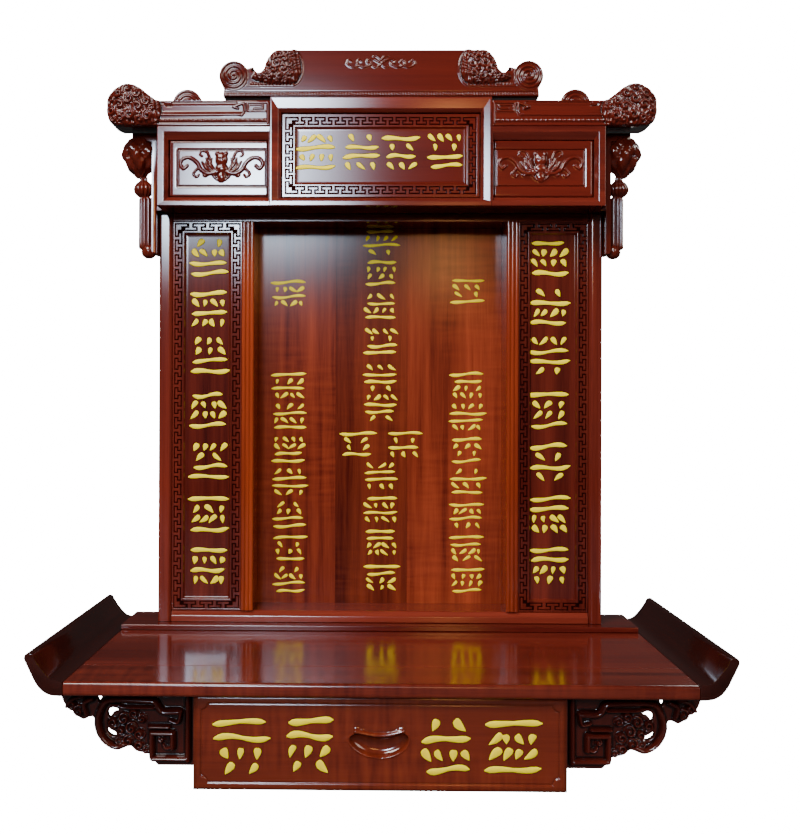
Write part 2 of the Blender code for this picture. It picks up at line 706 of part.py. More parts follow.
def reed_outline():
    """The section of an upright, x and y, with round reeds on its front."""
    y_face = Y_CABINET + REED_RISE
    width = REED_WIDTH / REED_COUNT
    outline = [(X_NICHE, y_face)]
    for k in range(REED_COUNT):
        middle = X_NICHE + (k + 0.5) * width
        outline += [
            (middle - 0.30 * width, y_face - 0.80 * REED_RISE), (middle, y_face - REED_RISE),
            (middle + 0.30 * width, y_face - 0.80 * REED_RISE), (middle + 0.5 * width, y_face)]
    return outline + [(X_REED, Y_BACK - GAP), (X_NICHE, Y_BACK - GAP)]


def bat_layers(centre):
    """A bat between two scrolls, spread over BAT_SPAN, in shares of half of it."""
    reach = BAT_SPAN / 2

    def place(points, side):
        return [(centre[0] + side * u * reach, centre[1] + v * reach) for u, v in points]

    layers = []
    for side in (-1, 1):
        wing = smooth_curve(place([
            (0.84, 0.05), (0.91, -0.03), (0.99, 0.08), (0.93, 0.22), (0.77, 0.25), (0.60, 0.12),
            (0.50, -0.06), (0.34, -0.15), (0.16, -0.10)], side), 2)
        curl = smooth_curve(place([(0.26, 0.05), (0.30, 0.24), (0.43, 0.36), (0.50, 0.26)], side), 2)
        layers.append((ribbon(wing, WING_TIP_WIDTH, WING_WIDTH), BAT_RELIEF))
        layers.append((ribbon(curl, CURL_WIDTH, 0.67 * CURL_WIDTH), BAT_RELIEF))
    body = [(0, 0.33), (0.14, 0.20), (0.12, 0.02), (0.20, -0.08), (0.10, -0.24), (0, -0.32)]
    outline = place(body, 1) + place(body[-2:0:-1], -1)
    layers.append((outline, BAT_RELIEF))
    return layers


def make_frieze(parent):
    """The box over the cabinet: boards, two side frames with carved panels, the plaque in its frame."""
    y_box = Y_FRIEZE + FRAME_DEPTH + GAP
    z_over = Z_FRIEZE + FRIEZE_BOARD
    z_under = Z_FRIEZE_TOP - FRIEZE_BOARD
    x_between = X_FRIEZE - FRIEZE_BOARD - GAP
    board("frieze_soffit", (-x_between, y_box, Z_FRIEZE), (x_between, Y_WALL, z_over), "red_wood", parent)
    board("frieze_top", (-x_between, y_box, z_under), (x_between, Y_WALL, Z_FRIEZE_TOP), "red_wood", parent)
    board("frieze_back", (-x_between, Y_WALL - FRIEZE_BOARD, z_over + GAP),
          (x_between, Y_WALL, z_under - GAP), "red_wood", parent)
    for side, word in ((-1, "left"), (1, "right")):
        near, far = sorted((side * (X_FRIEZE - FRIEZE_BOARD), side * X_FRIEZE))
        board("frieze_side_" + word, (near, y_box, Z_FRIEZE), (far, Y_WALL, Z_FRIEZE_TOP),
              "red_wood", parent)
        make_side_frame(side, word, parent)
    make_plaque(parent)


def make_side_frame(side, word, parent):
    """One side field of the frieze: a splayed frame and the carved panel in it."""
    x_in = X_PLAQUE + GAP
    outer = (x_in, X_FRIEZE, Z_FRIEZE, Z_FRIEZE_TOP)
    flat = (x_in + FRAME_INNER / 2, X_FRIEZE - FRAME_SIDE_FLAT,
            Z_FRIEZE + FRAME_BOTTOM_FLAT, Z_FRIEZE_TOP - FRAME_TOP_FLAT)
    opening = (x_in + FRAME_INNER, flat[1] - FRAME_SIDE_BEVEL,
               flat[2] + FRAME_BOTTOM_BEVEL, flat[3] - FRAME_TOP_BEVEL)
    y_back = Y_FRIEZE + FRAME_DEPTH

    def corners(x_low, x_high, z_low, z_high):
        low, high = sorted((side * x_low, side * x_high))
        return rectangle(low, high, z_low, z_high)

    mitred_frame("frieze_frame_" + word, [
        (corners(*outer), y_back), (corners(*outer), Y_FRIEZE), (corners(*flat), Y_FRIEZE),
        (corners(*opening), Y_SLOPE_FOOT), (corners(*opening), y_back)], "red_wood", parent)
    x_low, x_high, z_low, z_high = opening
    low, high = sorted((side * (x_low + GAP), side * (x_high - GAP)))
    z_low, z_high = z_low + GAP, z_high - GAP
    line = (low + ENGRAVED_MARGIN_X, high - ENGRAVED_MARGIN_X,
            z_low + ENGRAVED_MARGIN_Z, z_high - ENGRAVED_MARGIN_Z)
    within = (line[0] + ENGRAVED_WIDTH, line[1] - ENGRAVED_WIDTH,
              line[2] + ENGRAVED_WIDTH, line[3] - ENGRAVED_WIDTH)
    layers = [(rectangle(*line), -ENGRAVED_DEPTH), (rectangle(*within), 0.0)]
    layers += bat_layers(((low + high) / 2, (z_low + z_high) / 2))
    carved_board("frieze_panel_" + word, rectangle(low, high, z_low, z_high), layers, Y_SLOPE_FOOT,
                 Y_SLOPE_FOOT + FRIEZE_PANEL_THICK, "red_wood", parent)


def make_plaque(parent):
    """The taller block in the middle: a deep splayed frame and the fretted plaque in it."""
    z_top = Z_FRIEZE + PLAQUE_HEIGHT
    outer = (-X_PLAQUE, X_PLAQUE, Z_FRIEZE, z_top)
    slope = (-X_PLAQUE + PLAQUE_SIDE_BEVEL, X_PLAQUE - PLAQUE_SIDE_BEVEL,
             Z_FRIEZE + PLAQUE_BOTTOM_BEVEL, z_top - PLAQUE_TOP_BEVEL)
    opening = (slope[0] + PLAQUE_LIP, slope[1] - PLAQUE_LIP, slope[2] + PLAQUE_LIP / 2, slope[3] - PLAQUE_LIP)
    front_flat = (outer[0] + PLAQUE_RIM, outer[1] - PLAQUE_RIM, outer[2] + PLAQUE_RIM, outer[3] - PLAQUE_RIM)
    y_back = Y_FRIEZE + FRAME_DEPTH
    y_slope = Y_FRIEZE + PLAQUE_SINK / 2
    mitred_frame("plaque_frame", [
        (rectangle(*outer), y_back), (rectangle(*outer), Y_FRIEZE), (rectangle(*front_flat), Y_FRIEZE),
        (rectangle(*slope), y_slope), (rectangle(*opening), y_slope), (rectangle(*opening), y_back)],
        "red_wood", parent)
    fretted_panel("plaque_panel", opening[0] + GAP, opening[1] - GAP, opening[2] + GAP, opening[3] - GAP,
                  Y_FRIEZE + PLAQUE_SINK, PLAQUE_PANEL_THICK, PLAQUE_PITCH, parent)
    board("plaque_block", (-X_PLAQUE, Y_FRIEZE + FRAME_DEPTH + GAP, Z_SIDE_CREST),
          (X_PLAQUE, Y_FRIEZE + PLAQUE_DEPTH, z_top), "red_wood", parent)


def make_side_crests(parent):
    """Crest boards over the side fields, each with a curled head past the frieze and a half disc on top."""
    z_low = Z_SIDE_CREST
    z_high = z_low + SIDE_CREST_HEIGHT
    x_in = X_PLAQUE + GAP
    x_disc = X_FRIEZE - HALF_DISC_PLACE
    z_disc = z_high - HALF_DISC_SINK
    start = math.degrees(math.asin(HALF_DISC_SINK / HALF_DISC_RADIUS))

    def head(points):
        return [(X_FRIEZE + u * HEAD_LENGTH, z_low + v * HEAD_HEIGHT) for u, v in points]

    outline = [(x_in, z_low)] + smooth_curve(head([
        (0.80, 0.0), (0.95, 0.10), (1.0, 0.30), (1.0, 0.52), (0.96, 0.72), (0.76, 0.94),
        (0.55, 1.0), (0.35, 0.91), (0.19, 0.765), (0.035, 0.626)]), 3)
    outline += [(X_FRIEZE - GROOVE_WIDTH, z_high)]
    outline += arc((x_disc, z_disc), HALF_DISC_RADIUS, start, 180 - start, 10)
    outline += [(x_in, z_high)]
    rings = [
        (arc((x_disc, z_disc), 0.82 * HALF_DISC_RADIUS, 2 * start, 180 - 2 * start, 8), -CREST_RELIEF / 2),
        (arc((x_disc, z_disc), 0.62 * HALF_DISC_RADIUS, 2 * start, 180 - 2 * start, 8), 0.0),
    ]

    def fret_place(points):
        return [(x_in + u * FRET_LENGTH, z_low + v * SIDE_CREST_HEIGHT) for u, v in points]

    fret = fret_place([(1.0, 0.91), (0.10, 0.91), (0.10, 0.34), (0.76, 0.34), (0.76, 0.66), (0.35, 0.66)])
    x_start, x_end = x_in + 1.2 * FRET_LENGTH, X_FRIEZE - 5 * GROOVE_WIDTH
    z_line, z_bead = z_high - 2 * GROOVE_WIDTH, z_low + 0.34 * SIDE_CREST_HEIGHT
    bosses = [(0.22, 0.30, 1.0), (0.34, 0.64, 1.0), (0.58, 0.80, 0.95), (0.80, 0.62, 0.95),
              (0.83, 0.32, 0.9), (0.53, 0.19, 0.9), (0.55, 0.49, 0.85)]
    y_back = Y_FRIEZE + SIDE_CREST_DEPTH
    for side, word in ((-1, "left"), (1, "right")):
        layers = [
            (rectangle(x_start, x_end, z_bead, z_bead + GROOVE_WIDTH), -CREST_RELIEF / 2),
            (rectangle(x_start, x_end, z_line, z_line + GROOVE_WIDTH), -CREST_RELIEF / 2),
            (ribbon(fret, FRET_RIB, FRET_RIB), CREST_RELIEF / 2),
        ]
        layers += rings
        layers += [(circle(head([(u, v)])[0], share * HEAD_BOSS, 8), CREST_RELIEF)
                   for u, v, share in bosses]
        layers = [(mirrored(loop, side), height) for loop, height in layers]
        carved_board("side_crest_" + word, mirrored(outline, side), layers, Y_FRIEZE, y_back,
                     "red_wood", parent)


def make_upper_crest(parent):
    """The top crest board: scroll discs at its ends, curled clusters, a sunk field and a lip below."""
    half = UPPER_CREST_LENGTH / 2
    z_low = Z_UPPER_CREST
    z_high = z_low + UPPER_CREST_HEIGHT
    x_disc = half - CREST_DISC_RADIUS
    z_disc = z_low + CREST_DISC_LIFT + CREST_DISC_RADIUS
    x_flat = x_disc - CLUSTER_LENGTH

    def cluster(points):
        return [(x_disc - u * CLUSTER_LENGTH, z_low + v * UPPER_CREST_HEIGHT) for u, v in points]

    right = [(0, z_low), (half - CREST_LIP, z_low), (half - CREST_LIP, z_low + CREST_LIP)]
    right += arc((x_disc, z_disc), CREST_DISC_RADIUS, -50, 150, 12)
    right += smooth_curve(cluster([
        (0.317, 0.638), (0.383, 0.515), (0.439, 0.501), (0.489, 0.566), (0.528, 0.697), (0.606, 0.856),
        (0.700, 0.958), (0.800, 0.965), (0.900, 0.958)]), 3)
    right += [(x_flat, z_high), (0, z_high)]
    outline = right[1:-1] + [(-x, z) for x, z in reversed(right[1:-1])]
    hole = circle(cluster([(0.317, 0.575)])[0], CREST_HOLE_RADIUS, 6)
    z_field = z_low + CREST_FIELD_LIFT
    x_inner, x_outer = x_flat - 0.15 * CLUSTER_LENGTH, x_flat - 0.08 * CLUSTER_LENGTH
    field = [(x_inner, z_field), (x_outer, z_field + 4 * GROOVE_WIDTH),
             (x_outer, z_high - 6 * GROOVE_WIDTH), (x_inner, z_high - 2 * GROOVE_WIDTH)]
    field += [(-x, z) for x, z in reversed(field)]
    lip = rectangle(-half, half, z_low - GAP, z_low + CREST_LIP)
    layers = [(lip, CREST_LIP_OUT), (field, -CREST_RELIEF / 2)]
    bosses = [(0.67, 0.75, 1.0), (0.79, 0.84, 0.8), (0.56, 0.62, 0.8), (0.72, 0.535, 0.75),
              (0.86, 0.65, 0.85)]
    for side in (-1, 1):
        layers += [
            (circle((side * x_disc, z_disc), 0.80 * CREST_DISC_RADIUS, 14), -CREST_RELIEF / 2),
            (circle((side * x_disc, z_disc), 0.62 * CREST_DISC_RADIUS, 14), 0.0),
            (circle((side * x_disc, z_disc), 0.36 * CREST_DISC_RADIUS, 10), CREST_RELIEF / 2),
            (rectangle(*sorted((side * x_flat, side * (x_disc - 0.9 * CREST_DISC_RADIUS))),
                       z_low + DENTIL_LIFT, z_low + DENTIL_LIFT + DENTIL_HEIGHT), CREST_RELIEF / 2),
        ]
        for u, v, share in bosses:
            x, z = cluster([(u, v)])[0]
            layers.append((circle((side * x, z), share * CLUSTER_BOSS, 8), CREST_RELIEF))
    carved_board("upper_crest", outline, layers, Y_FRIEZE, Y_FRIEZE + UPPER_CREST_DEPTH, "red_wood",
                 parent, [hole, [(-x, z) for x, z in reversed(hole)]])


def make_pendants(parent):
    """Hanging pendants beside the frieze: a stepped plate with a bulb, a ball and a fluted column."""
    z_top = Z_FRIEZE_TOP
    z_end = z_top - PENDANT_HEIGHT
    x_frieze = X_FRIEZE + GAP
    x_cabinet = max(X_CABINET, X_FRIEZE) + GAP
    x_plate = x_cabinet + PENDANT_PLATE
    x_axis = x_plate + COLUMN_RADIUS + FLUTE_DEPTH
    y_axis = Y_WALL - PENDANT_FRONT + PENDANT_DEPTH / 2
    drop = DROP_RADIUS
    z_foot = z_end + drop / 2
    z_cap = z_top - PENDANT_CAP_HEIGHT
    plate = [
        (x_frieze, z_top), (x_frieze, Z_FRIEZE), (x_cabinet, Z_FRIEZE), (x_cabinet, z_foot),
        (x_plate - FLUTE_DEPTH, z_foot), (x_plate, z_foot + 2 * FLUTE_DEPTH), (x_plate, z_cap - FLUTE_DEPTH),
        (x_plate + PENDANT_CAP_LENGTH, z_cap), (x_plate + PENDANT_CAP_LENGTH, z_top)]
    z_bulb = z_top - 0.8 * PENDANT_CAP_HEIGHT - BULB_HEIGHT / 2
    z_ball = z_bulb - BULB_HEIGHT / 2 - PENDANT_NECK - BALL_HEIGHT / 2
    z_column = z_ball - BALL_HEIGHT / 2
    z_drop = z_column - COLUMN_HEIGHT
    profile = [
        (NECK_RADIUS, z_ball + BALL_HEIGHT / 2 + 2 * PENDANT_NECK, False),
        (NECK_RADIUS, z_ball + BALL_HEIGHT / 2, False),
        (0.80 * BALL_RADIUS, z_ball + 0.30 * BALL_HEIGHT, True),
        (BALL_RADIUS, z_ball, True), (0.80 * BALL_RADIUS, z_ball - 0.30 * BALL_HEIGHT, True),
        (NECK_RADIUS, z_column, False), (COLUMN_RADIUS, z_column - 2 * FLUTE_DEPTH, True),
        (COLUMN_RADIUS, z_drop + 0.80 * drop, True), (0.80 * drop, z_drop + 0.55 * drop, False),
        (drop, z_drop, False), (0.60 * drop, z_drop - 0.80 * drop, False)]
    bulb = [(0.30, 0.50), (0.72, 0.36), (0.97, 0.12), (1.0, -0.04), (0.82, -0.26), (0.40, -0.46)]
    for side, word in ((-1, "left"), (1, "right")):
        name = "pendant_" + word
        base = prism(name, mirrored(plate, side), "y", y_axis - PENDANT_DEPTH / 2 + NECK_RADIUS,
                     y_axis + PENDANT_DEPTH / 2, "dark_wood", parent)
        rod = turned_shape(name + "_rod", profile, (side * x_axis, y_axis), 2 * FLUTES, "dark_wood",
                           parent, FLUTE_DEPTH)
        fruit = turned_shape(name + "_fruit", [(r * BULB_RADIUS, z_bulb + h * BULB_HEIGHT, False)
                                               for r, h in bulb],
                             (side * (x_plate + 0.67 * BULB_RADIUS), y_axis), 12, "dark_wood", parent)
        joined(base, [fruit, rod])


def main():
    clear_scene()
    shrine = group("shrine")
    make_shelf(shrine)
    make_case(shrine)
    make_brackets(shrine)
    make_cabinet(shrine)
    make_frieze(shrine)
    make_side_crests(shrine)
    make_upper_crest(shrine)
    make_pendants(shrine)
    drawer = group("drawer_slide")
    drawer.parent = shrine
    make_drawer(drawer)
    bpy.context.view_layer.update()


main()
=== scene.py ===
import math

import bmesh
import bpy
import numpy as np
from mathutils import Matrix, Vector


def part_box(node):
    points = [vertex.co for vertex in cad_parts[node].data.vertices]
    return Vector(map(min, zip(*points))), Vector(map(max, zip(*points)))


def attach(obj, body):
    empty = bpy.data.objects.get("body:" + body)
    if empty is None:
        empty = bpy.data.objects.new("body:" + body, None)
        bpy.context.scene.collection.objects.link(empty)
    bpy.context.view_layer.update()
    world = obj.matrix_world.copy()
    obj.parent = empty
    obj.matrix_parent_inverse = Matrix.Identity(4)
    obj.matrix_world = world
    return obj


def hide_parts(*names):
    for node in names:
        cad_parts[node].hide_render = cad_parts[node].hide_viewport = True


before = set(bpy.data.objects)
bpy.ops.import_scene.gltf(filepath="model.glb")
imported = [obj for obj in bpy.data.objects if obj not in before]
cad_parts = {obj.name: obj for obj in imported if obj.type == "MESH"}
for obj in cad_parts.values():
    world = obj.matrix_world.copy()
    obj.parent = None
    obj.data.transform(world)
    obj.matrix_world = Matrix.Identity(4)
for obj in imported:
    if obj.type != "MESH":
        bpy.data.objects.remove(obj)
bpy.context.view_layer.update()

# Camera: it stands a little left of the middle and level with the middle of the niche, and looks
# straight at the shrine; the frame is shifted as the photograph is cropped.
CAMERA_PLACE = (-0.0075, -1.6129, 0.4819)
CAMERA_LEFT, CAMERA_UP, CAMERA_ROUND = (math.radians(a) for a in (0.876, 0.325, 0.195))
PHOTO_WIDTH, PHOTO_HEIGHT = 800, 834
FOCAL_LENGTH, AXIS_X, AXIS_Y = 1135.2, 357.5, 397.7      # in pixels of the photograph
lens = bpy.data.cameras.new("camera")
lens.sensor_width = 36.0
lens.lens = lens.sensor_width * FOCAL_LENGTH / PHOTO_HEIGHT
lens.shift_x = (PHOTO_WIDTH / 2 - AXIS_X) / PHOTO_HEIGHT
lens.shift_y = (AXIS_Y - PHOTO_HEIGHT / 2) / PHOTO_HEIGHT
lens.dof.use_dof = False
camera = bpy.data.objects.new("camera", lens)
bpy.context.scene.collection.objects.link(camera)
camera.matrix_world = (
    Matrix.Translation(CAMERA_PLACE) @ Matrix.Rotation(CAMERA_LEFT, 4, "Z")
    @ Matrix.Rotation(math.pi / 2 + CAMERA_UP, 4, "X") @ Matrix.Rotation(CAMERA_ROUND, 4, "Z"))
bpy.context.scene.camera = camera


def spots(pixels, y):
    """Places (x, z) on the upright plane at y where sight lines through pixels of the photograph meet it."""
    across, down = np.asarray(pixels, float).T
    rays = np.stack([(across - AXIS_X) / FOCAL_LENGTH, (AXIS_Y - down) / FOCAL_LENGTH, -np.ones(len(across))])
    rays = np.array(camera.matrix_world.to_3x3()) @ rays
    reach = (y - CAMERA_PLACE[1]) / rays[1]
    return np.stack([CAMERA_PLACE[0] + reach * rays[0], CAMERA_PLACE[2] + reach * rays[2]], 1)


# Floor and backdrop: one pale sheet that lies under the shrine and curves up far behind it, lit
# to near white, so that the shrine stands before a plain ground.
def feed(tree, node, inputs):
    """Fills a node's sockets; inputs pairs a socket's name or number with a value or another socket."""
    for key, value in dict(inputs).items():
        if isinstance(value, bpy.types.NodeSocket):
            tree.links.new(value, node.inputs[key])
        else:
            node.inputs[key].default_value = value


def add(tree, kind, inputs=(), **settings):
    """One shader node with its settings and its sockets filled; gives its first output."""
    made = tree.nodes.new("ShaderNode" + kind)
    for key, value in settings.items():
        setattr(made, key, value)
    feed(tree, made, inputs)
    return made.outputs[0]


def new_finish(name):
    """A new material, its tree of nodes and its shader."""
    made = bpy.data.materials.new(name)
    made.use_nodes = True
    return made, made.node_tree, made.node_tree.nodes["Principled BSDF"]


def show(name, points, faces, material, smooth=True):
    """A mesh object from an array of points and arrays of faces; each array holds faces of one size."""
    mesh = bpy.data.meshes.new(name)
    corners = np.concatenate([f.ravel() for f in faces])
    sizes = np.concatenate([np.full(len(f), f.shape[1]) for f in faces])
    mesh.vertices.add(len(points))
    mesh.vertices.foreach_set("co", np.asarray(points, np.float32).ravel())
    mesh.loops.add(len(corners))
    mesh.loops.foreach_set("vertex_index", corners.astype(np.int32))
    mesh.polygons.add(len(sizes))
    mesh.polygons.foreach_set("loop_start", (np.cumsum(sizes) - sizes).astype(np.int32))
    mesh.update(calc_edges=True)
    if smooth:
        mesh.shade_smooth()
    mesh.materials.append(material)
    piece = bpy.data.objects.new(name, mesh)
    bpy.context.scene.collection.objects.link(piece)
    return piece


def sheet_faces(rows, columns, around=False, start=0):
    """Four-cornered faces between the points of a grid; around also joins the last column to the first."""
    row, column = np.meshgrid(np.arange(rows - 1), np.arange(columns - (not around)), indexing="ij")
    after = (column + 1) % columns
    low, high = row * columns, (row + 1) * columns
    return start + np.stack([low + column, low + after, high + after, high + column], -1).reshape(-1, 4)


STAGE_HALF, STAGE_FRONT, STAGE_BACK, STAGE_CURVE, STAGE_TOP = 5.0, -6.0, 2.2, 1.2, 4.0
STAGE_GLOW, STAGE_BOUNCE = 20.0, 0.03
bend = np.linspace(0, math.pi / 2, 13)
stage_y = np.concatenate([[STAGE_FRONT], STAGE_BACK + STAGE_CURVE * np.sin(bend), [STAGE_BACK + STAGE_CURVE]])
stage_z = np.concatenate([[0.0], STAGE_CURVE * (1 - np.cos(bend)), [STAGE_TOP]])
stage_x = np.linspace(-STAGE_HALF, STAGE_HALF, 2)
stage_points = np.stack(np.broadcast_arrays(stage_x[None], stage_y[:, None], stage_z[:, None]), -1)
pale, pale_tree, pale_shader = new_finish("pale_ground")
seen = add(pale_tree, "LightPath")
tone = add(pale_tree, "Mix", {0: seen, 6: (*[STAGE_BOUNCE] * 3, 1), 7: (0.92, 0.92, 0.92, 1)},
           data_type="RGBA").node.outputs[2]
glow = add(pale_tree, "Math", {0: seen, 1: STAGE_GLOW}, operation="MULTIPLY")
feed(pale_tree, pale_shader, {"Roughness": 0.9, "Emission Color": (1, 1, 1, 1), "Base Color": tone,
                              "Emission Strength": glow})
ground = show("ground", stage_points.reshape(-1, 3) - np.array([0, 0, 0.0005]),
              [sheet_faces(len(stage_y), 2)], pale)

# Light: a tall soft window to the left behind the camera, whose glare lies on the left fields of the
# frieze, a small warm one beside it, a key lamp above on the left, a weak warm fill on the right, a
# lamp behind for the back, and little light from the room.
WORLD_SEEN, WORLD_LIGHT = 22.0, 0.07
world = bpy.data.worlds.new("room")
world.use_nodes = True
bpy.context.scene.world = world
room = world.node_tree
room.nodes.clear()
direct = add(room, "LightPath")
strength = add(room, "MapRange", {0: direct, 3: WORLD_LIGHT, 4: WORLD_SEEN})
air = add(room, "Background", {"Color": (0.93, 0.96, 1.0, 1), "Strength": strength})
room.links.new(air, room.nodes.new("ShaderNodeOutputWorld").inputs[0])


def lamp(name, place, target, width, height, power, colour, soft=False):
    """A rectangular lamp at a place, turned to a target. A soft one is brightest in the middle and
    fades to its edges, as the cubed sine of each share of its width and height."""
    data = bpy.data.lights.new(name, "AREA")
    data.shape = "RECTANGLE"
    data.size, data.size_y, data.energy, data.color = width, height, power, colour
    made = bpy.data.objects.new(name, data)
    bpy.context.scene.collection.objects.link(made)
    turn = (Vector(place) - Vector(target)).to_track_quat("Z", "Y").to_matrix().to_4x4()
    made.matrix_world = Matrix.Translation(place) @ turn
    made.visible_camera = False
    if soft:
        data.use_nodes = True
        tree = data.node_tree
        share = add(tree, "NewGeometry").node.outputs["Parametric"]
        share = add(tree, "SeparateXYZ", {0: share}).node.outputs
        waves = [add(tree, "Math", {0: add(tree, "Math", {0: share[k], 1: math.pi}, operation="MULTIPLY")},
                     operation="SINE") for k in (0, 1)]
        fade = add(tree, "Math", {0: waves[0], 1: waves[1]}, operation="MULTIPLY")
        fade = add(tree, "Math", {0: fade, 1: 3.0}, operation="POWER")
        tree.links.new(fade, tree.nodes["Emission"].inputs["Strength"])


lamp("window", (-0.58, -4.0, 1.58), (-0.1, 0, 0.75), 1.35, 1.15, 700, (0.66, 0.81, 1.0), soft=True)
lamp("glow", (0.37, -4.0, 1.22), (0.1, 0.2, 0.72), 0.6, 0.62, 52, (1.0, 0.42, 0.12), soft=True)
lamp("key", (-0.9, -1.5, 2.05), (0, 0, 0.7), 1.2, 0.8, 84, (1.0, 0.97, 0.92))
lamp("back", (1.9, 2.6, 1.7), (0, 0.2, 0.5), 1.4, 1.2, 55, (1.0, 0.96, 0.92))
lamp("fill", (2.0, -2.2, 1.9), (0, 0, 0.6), 1.4, 1.2, 40, (1.0, 0.88, 0.74))


# Shelf: a front and a back board of lacquered hardwood, glued edge to edge, with a low ledge on
# them that carries the cabinet. The front edge is rounded by hand plane.
def build_grain():
    """Figure of lacquered wood along Z: bands, streaks and pores, patches of flame across the grain, and
    painted shade, darker in the hollows of carving."""
    tree = bpy.data.node_groups.new("lacquered_grain", "ShaderNodeTree")
    for name, kind in (("Vector", "Vector"), ("Dark", "Color"), ("Light", "Color"), ("Figure", "Float"),
                       ("Flame", "Float"), ("Painted_Shade", "Float")):
        tree.interface.new_socket(name, in_out="INPUT", socket_type="NodeSocket" + kind)
    for name, kind in (("Color", "Color"), ("Height", "Float")):
        tree.interface.new_socket(name, in_out="OUTPUT", socket_type="NodeSocket" + kind)
    given = tree.nodes.new("NodeGroupInput").outputs
    result = tree.nodes.new("NodeGroupOutput").inputs

    def noise(stretch, detail, twist=0.0):
        moved = add(tree, "VectorMath", {0: given["Vector"], 1: stretch}, operation="MULTIPLY")
        return add(tree, "TexNoise", {"Vector": moved, "Scale": 1.0, "Detail": detail, "Distortion": twist})

    def reckon(operation, a, b, c=0.0):
        return add(tree, "Math", {0: a, 1: b, 2: c}, operation=operation)

    bands = noise((24.0, 24.0, 1.0), 3.0, 0.5)
    streaks = noise((110.0, 110.0, 3.0), 3.0)
    pores = noise((620.0, 620.0, 26.0), 2.0)
    fine = reckon("MULTIPLY_ADD", streaks, 0.3, reckon("MULTIPLY", pores, 0.15))
    mixed = reckon("MULTIPLY_ADD", bands, 0.55, fine)
    share = add(tree, "MapRange", {0: mixed, 1: 0.34, 2: 0.66})
    ripple = reckon("SUBTRACT", noise((16.0, 16.0, 125.0), 1.0, 0.3), 0.5)
    patch = add(tree, "MapRange", {0: noise((9.0, 9.0, 4.0), 1.0), 1: 0.45, 2: 0.62})
    flame = reckon("MULTIPLY", reckon("MULTIPLY", ripple, patch), given["Flame"])
    level = reckon("ADD", reckon("MULTIPLY_ADD", reckon("SUBTRACT", share, 0.5), given["Figure"], 0.5), flame)
    colour = add(tree, "Mix", {0: level, 6: given["Dark"], 7: given["Light"]},
                 data_type="RGBA").node.outputs[2]
    cloud = add(tree, "MapRange", {0: noise((4.0, 4.0, 1.6), 2.0), 1: 0.3, 2: 0.7, 3: 0.8, 4: 1.2})
    shade = reckon("MULTIPLY", cloud, reckon("SUBTRACT", 1.0, given["Painted_Shade"]))
    tint = add(tree, "CombineColor", {0: shade, 1: shade, 2: shade})
    final = add(tree, "Mix", {0: 1.0, 6: colour, 7: tint}, data_type="RGBA",
                blend_type="MULTIPLY").node.outputs[2]
    tree.links.new(final, result["Color"])
    tree.links.new(pores, result["Height"])
    return tree


grain = build_grain()
woods = {}


def lacquer(name, dark, light, along="z", shift=0.0, figure=1.0, gloss=0.09, recess_shade=0.0, flame=0.0,
            coat=1.0):
    """Lacquered wood, dark and light in the grain, which runs along X, Y or Z, under a clear coat."""
    key = (name, along, shift)
    if key in woods:
        return woods[key]
    made, tree, shader = new_finish(name)
    place = add(tree, "Mapping", {
        "Vector": add(tree, "TexCoord").node.outputs["Object"], "Location": (shift, shift, shift),
        "Rotation": {"x": (0, math.pi / 2, 0), "y": (math.pi / 2, 0, 0), "z": (0, 0, 0)}[along]})
    wood = tree.nodes.new("ShaderNodeGroup")
    wood.node_tree = grain
    feed(tree, wood, {"Vector": place, "Dark": (*dark, 1), "Light": (*light, 1), "Figure": figure,
                      "Flame": flame})
    # Painted shade: a mesh attribute marks the hollows of the carving, and they darken the wood by this
    # share.
    if recess_shade:
        deep = add(tree, "Attribute", attribute_name="recess_shade").node.outputs["Fac"]
        feed(tree, wood, {"Painted_Shade": add(tree, "Math", {0: deep, 1: recess_shade}, operation="MULTIPLY")})
    bump = add(tree, "Bump", {"Strength": 0.15, "Distance": 0.0004, "Height": wood.outputs["Height"]})
    feed(tree, shader, {"Base Color": wood.outputs["Color"], "Normal": bump, "Roughness": 0.38,
                        "Specular IOR Level": 0.0, "Coat Weight": coat, "Coat Roughness": gloss})
    woods[key] = made
    return made


def rounded(corners, radius, steps=3):
    """A closed outline with each corner turned into a curve: a quadratic between the points at the
    radius on either side, and one more point on each flat, so that the flats stay flat in gloss."""
    corners = np.asarray(corners, float)
    radius = np.broadcast_to(np.asarray(radius, float), len(corners))[:, None]
    t = np.linspace(0, 1, steps + 1)[None, :, None]
    arms = []
    for other in (np.roll(corners, 1, 0), np.roll(corners, -1, 0)):
        away = other - corners
        length = np.abs(away).max(1, keepdims=True)
        arms.append((away / length, np.minimum(radius, 0.42 * length)))
    (back, r_back), (ahead, r_ahead) = arms
    start, end = corners + back * r_back, corners + ahead * r_ahead
    curve = start[:, None] * (1 - t) ** 2 + corners[:, None] * 2 * t * (1 - t) + end[:, None] * t ** 2
    rim_back = (corners + back * r_back * 1.15)[:, None]
    rim_ahead = (corners + ahead * r_ahead * 1.15)[:, None]
    return np.concatenate([rim_back, curve, rim_ahead], 1).reshape(-1, corners.shape[1])


